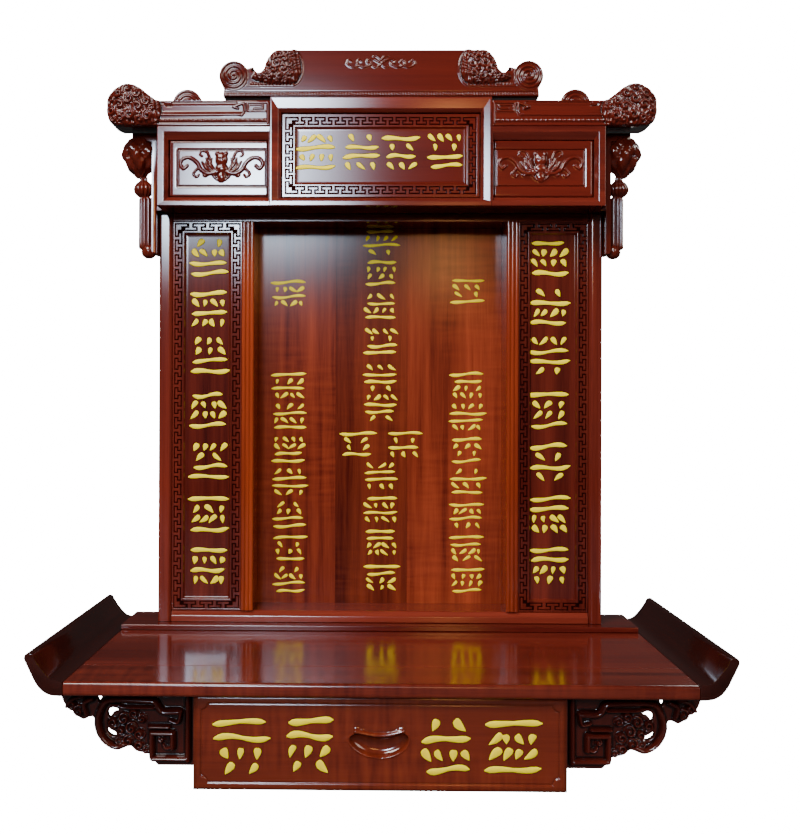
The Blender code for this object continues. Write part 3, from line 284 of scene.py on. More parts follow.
def carried(outline, low, high, axis, ease=0.0008):
    """An outline carried straight along an axis from low to high. Its ends are eased: near an end, at
    a quarter turn a, the station is ease(1 - sin a) from the end and the outline drawn in by
    ease(1 - cos a)."""
    outline = np.asarray(outline, float)
    middle = (outline.min(0) + outline.max(0)) / 2
    half = (outline.max(0) - outline.min(0)) / 2
    a = np.array([0.0, 0.5, 1.0]) * math.pi / 2
    near, inset = ease * (1 - np.sin(a)), ease * (1 - np.cos(a))
    near, inset = np.append(near[::-1], 1.4 * ease), np.append(inset[::-1], 0.0)
    stations = np.concatenate([low + near, (high - near)[::-1]])
    drawn = 1 - np.concatenate([inset, inset[::-1]])[:, None, None] / half
    section = middle + (outline - middle) * drawn
    along = np.broadcast_to(stations[:, None, None], (len(stations), len(outline), 1))
    a, b = section[..., :1], section[..., 1:]
    points = np.concatenate({"x": (along, a, b), "y": (a, along, b), "z": (a, b, along)}[axis], -1)
    count = len(outline)
    ends = np.array([np.arange(count), (len(stations) - 1) * count + np.arange(count)[::-1]])
    return points.reshape(-1, 3), [sheet_faces(len(stations), count, around=True), ends]


RED_SLOT, DARK_SLOT, AMBER_SLOT = "red_lacquered_wood", "dark_lacquered_wood", "amber_lacquered_wood"


def finished(piece, *nodes, slot=RED_SLOT, body="shrine", sharp=40.0):
    """Turns the faces outwards, keeps corners over an angle crisp, and fixes the piece to its body in
    place of its nodes."""
    shape = bmesh.new()
    shape.from_mesh(piece.data)
    bmesh.ops.recalc_face_normals(shape, faces=shape.faces)
    shape.to_mesh(piece.data)
    shape.free()
    if sharp:
        piece.data.set_sharp_from_angle(angle=math.radians(sharp))
    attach(piece, body)
    if nodes:
        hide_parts(*nodes)
    return piece


def eased_board(node, material, body="shrine", slot=RED_SLOT, axis="x", radius=0.0009, butted=0.0):
    """A board in place of its CAD node, with its long edges and its ends eased; butted boards take up
    half the gap to the next one."""
    low, high = (np.array(corner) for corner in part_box(node))
    k = "xyz".index(axis)
    p, q = [n for n in range(3) if n != k]
    low[p] -= butted
    high[p] += butted
    section = rounded([(low[p], low[q]), (high[p], low[q]), (high[p], high[q]), (low[p], high[q])], radius)
    points, faces = carried(section, low[k], high[k], axis)
    return finished(show(node + "_eased", points, faces, material), node, slot=slot, body=body)


RED_DARK, RED_LIGHT = (0.044, 0.004, 0.0028), (0.15, 0.019, 0.01)
NOSE_RADIUS = 0.0055
red_across = lacquer("red_lacquer_across", RED_DARK, RED_LIGHT, along="x")
low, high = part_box("shelf_front_board")
nosing = rounded([(low.y, low.z), (high.y, low.z), (high.y, high.z), (low.y, high.z)],
                 [NOSE_RADIUS, 0.0006, 0.0006, NOSE_RADIUS], 6)
points, faces = carried(nosing, low.x, high.x, "x")
shelf_red = lacquer("red_lacquer_shelf", (0.043, 0.0038, 0.0026), (0.148, 0.0205, 0.0095), "x", 0.05,
                    gloss=0.13, flame=0.9)
finished(show("shelf_front", points, faces, shelf_red), "shelf_front_board")
back_red = lacquer("red_lacquer_shelf_back", RED_DARK, RED_LIGHT, "x", 0.37, gloss=0.13)
eased_board("shelf_back_board", back_red, radius=0.0006)
ledge_red = lacquer("red_lacquer_ledge", (0.034, 0.0028, 0.002), (0.108, 0.0115, 0.0062), "x", 0.71)
eased_board("back_ledge", ledge_red, radius=0.0015)

# Shelf ends: thick ogee boards of dark stained wood, glued to the ends of the shelf and turned up,
# so that nothing rolls off; they run the whole depth of the shelf.
SHELF_TOP, END_RADIUS = 0.138, 0.0062
SIDES = ((-1, "left"), (1, "right"))


def through(points, steps=6, closed=False):
    """A smooth line through points: the Catmull-Rom cubic between each two of them, cut into steps."""
    p = np.asarray(points, float)
    ends = (p[-1:], p[:2]) if closed else (p[:1], np.repeat(p[-1:], 2, 0))
    q = np.concatenate([ends[0], p, ends[1]])[:, None]
    count = len(p) if closed else len(p) - 1
    a, b, c, d = (q[n:n + count] for n in range(4))
    t = (np.arange(steps) / steps)[None, :, None]
    square, cube = 2 * a - 5 * b + 4 * c - d, 3 * b - a - 3 * c + d
    line = 0.5 * (2 * b + (c - a) * t + square * t ** 2 + cube * t ** 3)
    line = line.reshape(-1, p.shape[1])
    return line if closed else np.concatenate([line, p[-1:]])


def mirrored(name, node, material, shape, slot=RED_SLOT, sharp=40.0):
    """A pair of pieces. Shape takes a node's lowest and highest corners, with x counted outwards, and
    gives points and faces; the left piece has its x turned."""
    for side, word in SIDES:
        low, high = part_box(f"{node}_{word}")
        if side < 0:
            low, high = Vector((-high.x, low.y, low.z)), Vector((-low.x, high.y, high.z))
        points, faces = shape(low, high)
        points[:, 0] *= side
        finished(show(f"{name}_{word}", points, faces, material), f"{node}_{word}", slot=slot, sharp=sharp)


def shelf_end(low, high):
    """An ogee from the shelf up the inner side, over the round tip and down the outside, carried along Y."""
    foot, tip = low.x, high.x
    reach, rise = tip - foot, high.z - SHELF_TOP
    inner = through([(foot, SHELF_TOP), (foot + 0.3 * reach, SHELF_TOP + 0.1 * rise),
                     (foot + 0.56 * reach, SHELF_TOP + 0.46 * rise),
                     (foot + 0.74 * reach, SHELF_TOP + 0.82 * rise)])
    cap = np.radians(np.linspace(130, -20, 10))[:, None]
    centre = np.array([tip - END_RADIUS, high.z - END_RADIUS])
    top = centre + END_RADIUS * np.hstack([np.cos(cap), np.sin(cap)])
    outer = through([(tip - 0.1 * reach, high.z - 0.5 * rise), (tip - 0.34 * reach, low.z + 0.0135),
                     (tip - 0.62 * reach, low.z + 0.0022), (foot, low.z)])
    return carried(np.concatenate([inner, top, outer]), low.y, high.y, "y", ease=0.0015)


DARK_DARK, DARK_LIGHT = (0.01, 0.0018, 0.0012), (0.035, 0.005, 0.003)
dark_back = lacquer("dark_lacquer_back", DARK_DARK, DARK_LIGHT, along="y", figure=0.7)
mirrored("shelf_end_ogee", "shelf_end", dark_back, shelf_end, DARK_SLOT)

# Drawer case: four plain lacquered boards, glued and pegged under the shelf, open to the front; the
# drawer runs on its bottom.
for node in ("case_side_left", "case_side_right"):
    eased_board(node, lacquer("red_lacquer_across", RED_DARK, RED_LIGHT, "y", 0.2), axis="y")
eased_board("case_bottom", red_across)
eased_board("case_back", red_across)

# Drawer box: two sides, a back and a thin bottom of dark wood behind the front, dovetailed and
# glued; it slides out with the front.
dark_across = lacquer("dark_lacquer_across", DARK_DARK, DARK_LIGHT, along="x", figure=0.7)
for node in ("drawer_side_left", "drawer_side_right"):
    eased_board(node, dark_back, "drawer", DARK_SLOT, "y")
for node in ("drawer_back", "drawer_bottom"):
    eased_board(node, dark_across, "drawer", DARK_SLOT)


# Drawer front: one wide board with strong figure, a field with indented corners sunk a little into
# it, and a crescent finger pull carved from the thick of the board.
def distance(x, z, line, closed=False, chunk=200000):
    """How far points are from a line of straight stretches, and the share of its length where that is."""
    line = np.asarray(line, float)
    a = line if closed else line[:-1]
    along = (np.roll(line, -1, 0) if closed else line[1:]) - a
    length = np.maximum(np.hypot(*along.T), 1e-9)
    start = np.cumsum(length) - length
    rows = max(1, chunk // len(a))
    near, share = np.empty(x.size), np.empty(x.size)
    flat = np.stack([x.ravel(), z.ravel()], 1)
    for k in range(0, len(flat), rows):
        off = flat[k:k + rows, None] - a
        t = np.clip((off * along).sum(2) / length ** 2, 0, 1)
        far = np.hypot(*np.moveaxis(off - t[..., None] * along, 2, 0))
        best = far.argmin(1)
        pick = np.arange(len(best))
        near[k:k + rows] = far[pick, best]
        share[k:k + rows] = (start[best] + t[pick, best] * length[best]) / length.sum()
    return near.reshape(x.shape), share.reshape(x.shape)


def depth_inside(x, z, loops):
    """How far points are inside outlines, below zero outside them; an outline in another is a hole."""
    depth, inner = np.full(x.shape, np.inf), np.zeros(x.shape, bool)
    for loop in loops:
        loop = np.asarray(loop, float)
        depth = np.minimum(depth, distance(x, z, loop, closed=True)[0])
        for (x0, z0), (x1, z1) in zip(loop, np.roll(loop, -1, 0)):
            if z0 != z1:
                inner ^= ((z0 > z) != (z1 > z)) & (x < x0 + (x1 - x0) * (z - z0) / (z1 - z0))
    return np.where(inner, depth, -depth)


def half_round(off):
    """The root of 1 - off squared: 1 on the middle line, 0 from a distance of 1 on."""
    return np.sqrt(np.clip(1 - off ** 2, 0, 1))


def bell(off, width):
    """A bell curve: e to the power of minus (off / width) squared."""
    return np.exp(-(off / width) ** 2)


def rib(x, z, line, width, height, end=1.0, closed=False):
    """A half-round rib along a line, whose width runs evenly from the given one to that times end."""
    off, share = distance(x, z, line, closed)
    half = width / 2 * (1 + (end - 1) * share)
    return height * half_round(off / half) * (0.5 + 0.5 * half / (width / 2))


def dome(x, z, centre, radius, height, stretch=1.0):
    """A dome: the height times the half round of the distance over the radius."""
    return height * half_round(np.hypot(x - centre[0], (z - centre[1]) / stretch) / radius)


def curl(x, z, centre, radius, height, turns=1.5, sense=1, start=0.0):
    """A snail curl: a dome cut by a spiral groove, the cosine of turns times distance and the angle."""
    dx, dz = x - centre[0], z - centre[1]
    off = np.hypot(dx, dz) / radius
    wave = np.cos(2 * math.pi * turns * off - sense * np.arctan2(dz, dx) + start)
    return height * half_round(off) * (0.66 + 0.34 * wave)


def carve(name, xs, zs, loops, relief, y_face, y_back, edge, side=1, material=None):
    """A board with a carved front. Point (i, k) is (x_i, y_face - relief, z_k); corners of the grid
    close to the outline or just past it are drawn onto it down the slope of the distance; the face
    falls away over the last stretch, edge, in a quarter round; the back is flat, walls join both."""
    x, z = (g.copy() for g in np.meshgrid(xs, zs, indexing="ij"))
    depth = depth_inside(x, z, loops)
    step = min(np.diff(xs).min(), np.diff(zs).min())
    inner = depth > 0.35 * step
    used = np.zeros((len(xs) - 1, len(zs) - 1), bool)
    for i, k in ((0, 0), (1, 0), (0, 1), (1, 1)):
        used |= inner[i:len(xs) - 1 + i, k:len(zs) - 1 + k]
    touched = np.zeros(x.shape, bool)
    for i, k in ((0, 0), (1, 0), (0, 1), (1, 1)):
        touched[i:len(xs) - 1 + i, k:len(zs) - 1 + k] |= used
    drawn = touched & ~inner
    px, pz, small = x[drawn], z[drawn], 0.05 * step
    for _ in range(3):
        d = depth_inside(px, pz, loops)
        gx = (depth_inside(px + small, pz, loops) - d) / small
        gz = (depth_inside(px, pz + small, loops) - d) / small
        size = np.maximum(gx ** 2 + gz ** 2, 0.25)
        px, pz = px - d * gx / size, pz - d * gz / size
    x[drawn], z[drawn] = px, pz
    depth = np.where(drawn, 0.0, np.maximum(depth, 0.0))
    height = relief(x, z)
    fall = edge - np.sqrt(np.clip(edge ** 2 - np.clip(edge - depth, 0, edge) ** 2, 0, None))
    number = np.full(x.shape, -1)
    number[touched] = np.arange(touched.sum())
    front = np.stack([side * x[touched], (y_face - height + fall)[touched], z[touched]], 1)
    back = front.copy()
    back[:, 1] = y_back
    i, k = np.nonzero(used)
    face = np.stack([number[i, k], number[i + 1, k], number[i + 1, k + 1], number[i, k + 1]], 1)
    start, end = face.ravel(), np.roll(face, -1, 1).ravel()
    count = len(front)
    one_way = np.sort(start * count + end)
    other = end * count + start
    found = one_way[np.minimum(np.searchsorted(one_way, other), len(one_way) - 1)] == other
    a, b = start[~found], end[~found]
    walls = np.stack([b, a, a + count, b + count], 1)
    if side < 0:
        face, walls = face[:, ::-1], walls[:, ::-1]
    piece = show(name, np.concatenate([front, back]), [face, face[:, ::-1] + count, walls], material)
    smooth = np.repeat([True, False, True], [len(face), len(face), len(walls)])
    piece.data.polygons.foreach_set("use_smooth", smooth)
    # Painted shade: points lower than the mean height about them are marked with a share from 0 to 1, so that
    # the material darkens the hollows.
    reach = max(1, round(0.0035 / step))
    height = np.where(touched, height - fall, y_face - y_back)
    mean = height
    for axis in (0, 1):
        padded = np.concatenate([np.repeat(mean.take([0], axis), reach + 1, axis), mean,
                                 np.repeat(mean.take([-1], axis), reach, axis)], axis)
        total = np.cumsum(padded, axis)
        size = mean.shape[axis]
        upper = total.take(np.arange(2 * reach + 1, 2 * reach + 1 + size), axis)
        mean = (upper - total.take(np.arange(size), axis)) / (2 * reach + 1)
    painted_shade_amount = np.clip((mean - height) / 0.0022, 0, 1)[touched]
    shade_attribute = piece.data.attributes.new("recess_shade", "FLOAT", "POINT")
    shade_attribute.data.foreach_set("value", np.concatenate([painted_shade_amount, np.zeros(count)]).astype(np.float32))
    return piece


def ruled(low, high, step, *fine):
    """Grid lines from low to high, a step apart or less, and closer in each given (from, to, step)."""
    marks = sorted({low, high, *(m for f in fine for m in f[:2] if low < m < high)})
    lines = []
    for a, b in zip(marks, marks[1:]):
        apart = min([step] + [f[2] for f in fine if f[0] <= (a + b) / 2 <= f[1]])
        lines.append(np.linspace(a, b, max(1, round((b - a) / apart)) + 1)[:-1])
    return np.append(np.concatenate(lines), high)


X_FRONT, Z_FRONT = (-0.232, 0.232), (0.002, 0.119)
Y_DRAWER, THICK_DRAWER = -0.203, 0.018
FIELD, NOTCH = (0.2233, 0.0105, 0.1105), 0.0085
quarter = np.radians(np.linspace(0, 90, 9))
scoop = NOTCH * np.stack([np.cos(quarter), np.sin(quarter)], 1)
half_x, z_low, z_high = FIELD
field = np.concatenate([
    np.array([-half_x, z_low]) + scoop[::-1], np.array([half_x, z_low]) + scoop * (-1, 1),
    np.array([half_x, z_high]) - scoop[::-1], np.array([-half_x, z_high]) + scoop * (1, -1)])
pocket = through([(-0.0278, 0.0733), (-0.0135, 0.0702), (0.0007, 0.0689), (0.015, 0.0705), (0.0277, 0.0741),
                  (0.036, 0.067), (0.0299, 0.0542), (0.0157, 0.0463), (0.0, 0.044), (-0.0184, 0.0474),
                  (-0.032, 0.0559), (-0.0378, 0.0665)], 6, closed=True)
grip = through([(-0.03, 0.0757), (-0.0145, 0.0727), (0.0003, 0.0712), (0.015, 0.0725), (0.0285, 0.076)])


def drawer_relief(x, z):
    """A groove along the outline of the field, a bell curve of the distance, and the field sunk past
    it; in the pocket a bowl with quarter-round walls, round it a fine rim, over it the ribbed grip."""
    d = depth_inside(x, z, [field])
    height = -0.0013 * bell(d - 0.0012, 0.0009) - 0.0007 * np.clip(d / 0.003, 0, 1)
    p = depth_inside(x, z, [pocket])
    bowl = 0.0085 * half_round(1 - np.clip(p, 0, 0.011) / 0.011)
    rim = 0.0008 * bell(p + 0.0012, 0.001)
    return height - bowl + np.maximum(rim, rib(x, z, grip, 0.0055, 0.0032, end=1.0))


red_figured = lacquer("red_lacquer_figured", (0.05, 0.0046, 0.0024), (0.156, 0.0225, 0.0078), "x", 0.13,
                      figure=0.5, recess_shade=0.6, flame=1.0)
FINE = 0.0008       # grid lines this far apart where the front is cut
xs = ruled(*X_FRONT, 0.006, (-0.226, -0.211, FINE), (0.211, 0.226, FINE), (-0.04, 0.04, FINE))
zs = ruled(*Z_FRONT, 0.004, (0.0085, 0.0215, FINE), (0.036, 0.077, FINE), (0.099, 0.1125, FINE))
edge_loop = [(X_FRONT[0], Z_FRONT[0]), (X_FRONT[1], Z_FRONT[0]), (X_FRONT[1], Z_FRONT[1]),
             (X_FRONT[0], Z_FRONT[1])]
front = carve("drawer_front_carved", xs, zs, [edge_loop], drawer_relief, Y_DRAWER, Y_DRAWER + THICK_DRAWER,
              0.0015, 1, red_figured)
finished(front, "drawer_front", body="drawer", sharp=0)

# Brackets: openwork boards beside the case, sawn out and carved into a ring of cloud, a leaf and a
# square hook, and glued up under the shelf.
X_BRACKET, Z_BRACKET, LONG_BRACKET, DEEP_BRACKET = 0.2323, 0.1197, 0.1775, 0.1013


def on_bracket(points):
    """Places on the bracket from shares of its length, outwards, and of its height, downwards."""
    return np.array([X_BRACKET, Z_BRACKET]) + np.asarray(points, float) * (LONG_BRACKET, -DEEP_BRACKET)


bracket_loops = [
    np.concatenate([on_bracket([(0, 0), (1, 0)]), through(on_bracket([
        (1.0, 0.1), (0.975, 0.22), (0.93, 0.31), (0.895, 0.335), (0.865, 0.4), (0.829, 0.428), (0.785, 0.395),
        (0.757, 0.41), (0.755, 0.5), (0.735, 0.62), (0.69, 0.73), (0.63, 0.79), (0.564, 0.8), (0.515, 0.77),
        (0.485, 0.765), (0.45, 0.82), (0.403, 0.843), (0.36, 0.86), (0.33, 0.93)]), 5),
        on_bracket([(0.29, 1.0), (0, 1.0)])]),
    on_bracket([(0.68, 0.05), (0.76, 0.05), (0.715, 0.2)]),
    through(on_bracket([(0.576, 0.31), (0.605, 0.277), (0.64, 0.29), (0.653, 0.34), (0.64, 0.389),
                        (0.615, 0.335)]), 5, closed=True),
    through(on_bracket([(0.656, 0.53), (0.652, 0.585), (0.615, 0.63), (0.576, 0.62), (0.6, 0.585),
                        (0.63, 0.56)]), 5, closed=True)]
bracket_ribs = [
    ([(0.138, 0.307), (0.246, 0.307), (0.285, 0.25), (0.305, 0.19), (0.36, 0.17), (0.62, 0.165), (0.69, 0.26),
      (0.717, 0.42), (0.7, 0.58), (0.65, 0.7), (0.58, 0.755), (0.53, 0.72)], 0.0095, 0.0048, 0.9, True),
    ([(0.32, 0.262), (0.52, 0.258), (0.57, 0.235), (0.62, 0.235)], 0.005, 0.0028, 0.8, True),
    ([(0.18, 0.76), (0.18, 0.58), (0.33, 0.58), (0.33, 0.9), (0.08, 0.9)], 0.008, 0.004, 1.0, False),
    ([(0.18, 0.74), (0.225, 0.77), (0.245, 0.72)], 0.0055, 0.003, 0.7, True),
    ([(0.207, 0.5), (0.345, 0.5)], 0.006, 0.0032, 1.0, False),
    ([(0.07, 0.1), (0.07, 0.92)], 0.0075, 0.003, 1.0, False),
    ([(0.12, 0.3), (0.14, 0.44), (0.2, 0.42)], 0.006, 0.0032, 0.8, True),
    ([(0.76, 0.15), (0.82, 0.22), (0.8, 0.36)], 0.008, 0.004, 0.7, True),
    ([(0.83, 0.12), (0.9, 0.16), (0.95, 0.26)], 0.008, 0.004, 0.6, True)]
bracket_curls = [
    (0.53, 0.4, 0.0085, 0.0052, 1), (0.46, 0.34, 0.0075, 0.0042, -1), (0.4, 0.4, 0.0065, 0.004, 1),
    (0.61, 0.455, 0.0075, 0.0046, -1), (0.48, 0.52, 0.0085, 0.0055, 1), (0.555, 0.565, 0.007, 0.0046, -1),
    (0.42, 0.6, 0.0075, 0.0048, -1), (0.5, 0.68, 0.0085, 0.0052, 1), (0.42, 0.74, 0.0075, 0.0048, -1),
    (0.565, 0.68, 0.006, 0.0036, 1), (0.37, 0.8, 0.0055, 0.0036, 1), (0.86, 0.31, 0.0085, 0.005, 1),
    (0.91, 0.24, 0.007, 0.004, -1), (0.26, 0.66, 0.005, 0.003, 1)]
BRACKET_GROUND, BRACKET_FACES = 0.0065, (-0.1675, -0.1535)
MARGIN = 0.0008     # how far a grid of carving reaches past the outline


def bracket_relief(x, z):
    """The highest of the half-round ribs and the snail curls, less the depth of the cut-back ground."""
    forms = []
    for line, wide, high, end, bent in bracket_ribs:
        line = through(on_bracket(line)) if bent else on_bracket(line)
        forms.append(rib(x, z, line, wide, BRACKET_GROUND + high, end))
    forms += [curl(x, z, on_bracket([(u, v)])[0], r, BRACKET_GROUND + high - 0.001, 1.3, sense)
              for u, v, r, high, sense in bracket_curls]
    return np.maximum.reduce(forms) - BRACKET_GROUND


dark_carved = lacquer("dark_lacquer_carved", (0.028, 0.0038, 0.0026), (0.082, 0.01, 0.0056), figure=0.6,
                      recess_shade=0.85)
xs = ruled(X_BRACKET - MARGIN, X_BRACKET + LONG_BRACKET + MARGIN, 0.00073)
zs = ruled(Z_BRACKET - DEEP_BRACKET - MARGIN, Z_BRACKET + MARGIN, 0.00073)
for side, word in SIDES:
    bracket = carve("bracket_carved_" + word, xs, zs, bracket_loops, bracket_relief, *BRACKET_FACES, 0.002,
                    side, dark_carved)
    finished(bracket, "bracket_" + word, slot=DARK_SLOT, sharp=0)

# Cabinet box: two side boards whose front edges are the outer stiles, eased to a soft roll, a top
# board, and a moulded rail that is also the floor of the niche.
red_upright = lacquer("red_lacquer_upright", RED_DARK, RED_LIGHT)


def cabinet_side(low, high):
    """A side board: its front edge is drawn back by the niche and rolled on the outside."""
    section = rounded([(low.x, low.y + 0.0045), (low.x + 0.004, low.y + 0.0005), (high.x, low.y),
                       (high.x, high.y), (low.x, high.y)], [0.002, 0.002, 0.0035, 0.0008, 0.0008], 5)
    return carried(section, low.z, high.z, "z")


mirrored("cabinet_side_eased", "cabinet_side", red_upright, cabinet_side)
eased_board("cabinet_top", red_across)
low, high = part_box("bottom_rail")
ogee = rounded([(low.y, low.z), (high.y, low.z), (high.y, high.z), (low.y + 0.0065, high.z),
                (low.y + 0.0025, high.z - 0.0055), (low.y, high.z - 0.0075)],
               [0.0012, 0.0006, 0.0006, 0.0012, 0.0015, 0.0015])
points, faces = carried(ogee, low.x, high.x, "x")
rail_red = lacquer("red_lacquer_rail", (0.062, 0.0064, 0.004), (0.205, 0.028, 0.014), "x", 0.2)
finished(show("bottom_rail_moulded", points, faces, rail_red), "bottom_rail")


# Couplet panels: red boards with a square fret between two rails cut round a sunk field, and a
# column of gilt strokes; the rails and keys are left standing as the ground is cut away.
def moulded(name, levels, radius, material, ring=True):
    """A moulding round a rectangle. Levels are rectangles with a depth: x low, x high, z low, z high
    and y; corner c of level k is point (k, c). A ring joins its last level to its first; else both are
    closed by a face. Bends between levels are eased by the radius."""
    bent = rounded(levels, radius)
    bent = bent[np.abs(bent - np.roll(bent, 1, 0)).max(1) > 1e-7]
    x0, x1, z0, z1, y = bent.T
    points = np.stack([np.stack([a, y, b], 1) for a, b in ((x0, z0), (x1, z0), (x1, z1), (x0, z1))], 1)
    last, n = (len(bent) - 1) * 4, np.arange(4)
    cap = np.stack([n, last + n[::-1]])
    ends = np.stack([last + n, last + (n + 1) % 4, (n + 1) % 4, n], 1) if ring else cap
    return show(name, points.reshape(-1, 3), [sheet_faces(len(bent), 4, around=True), ends], material)


def keep_mitres(piece):
    """Marks the edges that run from level to level at the four corners as crisp."""
    ends = np.empty(len(piece.data.edges) * 2, np.int32)
    piece.data.edges.foreach_get("vertices", ends)
    ends = ends.reshape(-1, 2)
    crisp = np.empty(len(ends), bool)
    piece.data.edges.foreach_get("use_edge_sharp", crisp)
    crisp |= (ends[:, 0] % 4 == ends[:, 1] % 4)
    piece.data.edges.foreach_set("use_edge_sharp", crisp)
    return piece


FRET_BAND, KEY_GAP, KEY_STEM, KEY_BAR, KEY_HALF, KEY_EASE = 0.0115, 0.0014, 0.00225, 0.0036, 0.0075, 0.0007
KEY_PITCH = 0.0225


def fret_keys(name, x0, x1, z0, z1, ground_y, face_y, pitch, material):
    """Square keys in the band inside a rectangle: T shapes that hang from the outer rail and others
    between them that stand on the inner rail, with a block with two arms in each corner. Point (key,
    level, corner of the key), the top level drawn in by the ease."""
    t = np.array([(-KEY_STEM, -0.001), (KEY_STEM, -0.001), (KEY_STEM, 0.0065), (KEY_HALF, 0.0065),
                  (KEY_HALF, 0.0065 + KEY_BAR), (-KEY_HALF, 0.0065 + KEY_BAR), (-KEY_HALF, 0.0065),
                  (-KEY_STEM, 0.0065)])
    tees, blocks = [], []
    for across, low, high, near, far in ((0, x0, x1, z0, z1), (1, z0, z1, x0, x1)):
        length = high - low - 2 * FRET_BAND
        count = max(2, round(length / pitch))
        stretch = length / count / KEY_PITCH
        hanging = low + FRET_BAND + (np.arange(count) + 0.5) * length / count
        standing = low + FRET_BAND + np.arange(1, count) * length / count
        for rail, inward in ((near, 1), (far, -1)):
            rows = ((hanging, rail, inward), (standing, rail + inward * FRET_BAND, -inward))
            for places, base, way in rows:
                key = np.stack([places[:, None] + t[:, 0] * stretch,
                                np.broadcast_to(base + way * t[:, 1], (len(places), len(t)))], -1)
                key = key if (way > 0) != bool(across) else key[:, ::-1]
                tees.append(key[..., ::-1] if across else key)
    tees = np.concatenate(tees)
    reach = FRET_BAND - KEY_GAP
    bar, arm = FRET_BAND - 0.0065, FRET_BAND + KEY_HALF * pitch / KEY_PITCH
    corner = np.array([(KEY_GAP, KEY_GAP), (arm, KEY_GAP), (arm, bar), (reach, bar),
                       (reach, reach), (bar, reach), (bar, arm), (KEY_GAP, arm)])
    for x, z, a, b in ((x0, z0, 1, 1), (x1, z0, -1, 1), (x1, z1, -1, -1), (x0, z1, 1, -1)):
        block = np.array([x, z]) + corner * (a, b)
        blocks.append(block if a * b > 0 else block[::-1])
    points, faces, start = [], [], 0
    for keys in (tees, np.array(blocks)):
        along = np.roll(keys, -1, 1) - keys
        along /= np.linalg.norm(along, axis=2, keepdims=True)
        inward = np.stack([-along[..., 1], along[..., 0]], -1)
        drawn = keys + KEY_EASE * (inward + np.roll(inward, 1, 1))
        count, corners = keys.shape[:2]
        levels = [(keys, ground_y + 0.0003), (keys, face_y + KEY_EASE), (drawn, face_y)]
        made = np.stack([np.stack([k[..., 0], np.full(k.shape[:2], y), k[..., 1]], -1) for k, y in levels], 1)
        points.append(made.reshape(-1, 3))
        top = 2 * corners + np.arange(corners)
        one = [sheet_faces(3, corners, around=True), np.stack([np.arange(corners)[::-1], top])]
        offset = start + np.arange(count)[:, None, None] * 3 * corners
        faces += [(offset + f).reshape(-1, f.shape[1]) for f in one]
        start += made.size // 3
    return show(name, np.concatenate(points), faces, material)


gilt, gilt_tree, gilt_shader = new_finish("gilt")
gilt_place = add(gilt_tree, "TexCoord").node.outputs["Object"]
leaf = add(gilt_tree, "TexNoise", {"Vector": gilt_place, "Scale": 160.0, "Detail": 3.0})
tone = add(gilt_tree, "Mix", {0: leaf, 6: (0.76, 0.57, 0.0, 1), 7: (0.92, 0.7, 0.003, 1)},
           data_type="RGBA").node.outputs[2]
feed(gilt_tree, gilt_shader, {
    "Base Color": tone, "Roughness": add(gilt_tree, "MapRange", {0: leaf, 3: 0.35, 4: 0.52}),
    "Metallic": 0.0, "Specular IOR Level": 0.15})
# Painted shadow: a near-black band without coat at the foot of each gilt stroke, where the raised gilt meets
# the board.
gilt_foot_shadow = lacquer("gilt_foot_painted_shadow", (0.006, 0.001, 0.0008), (0.014, 0.002, 0.0014), coat=0.0)


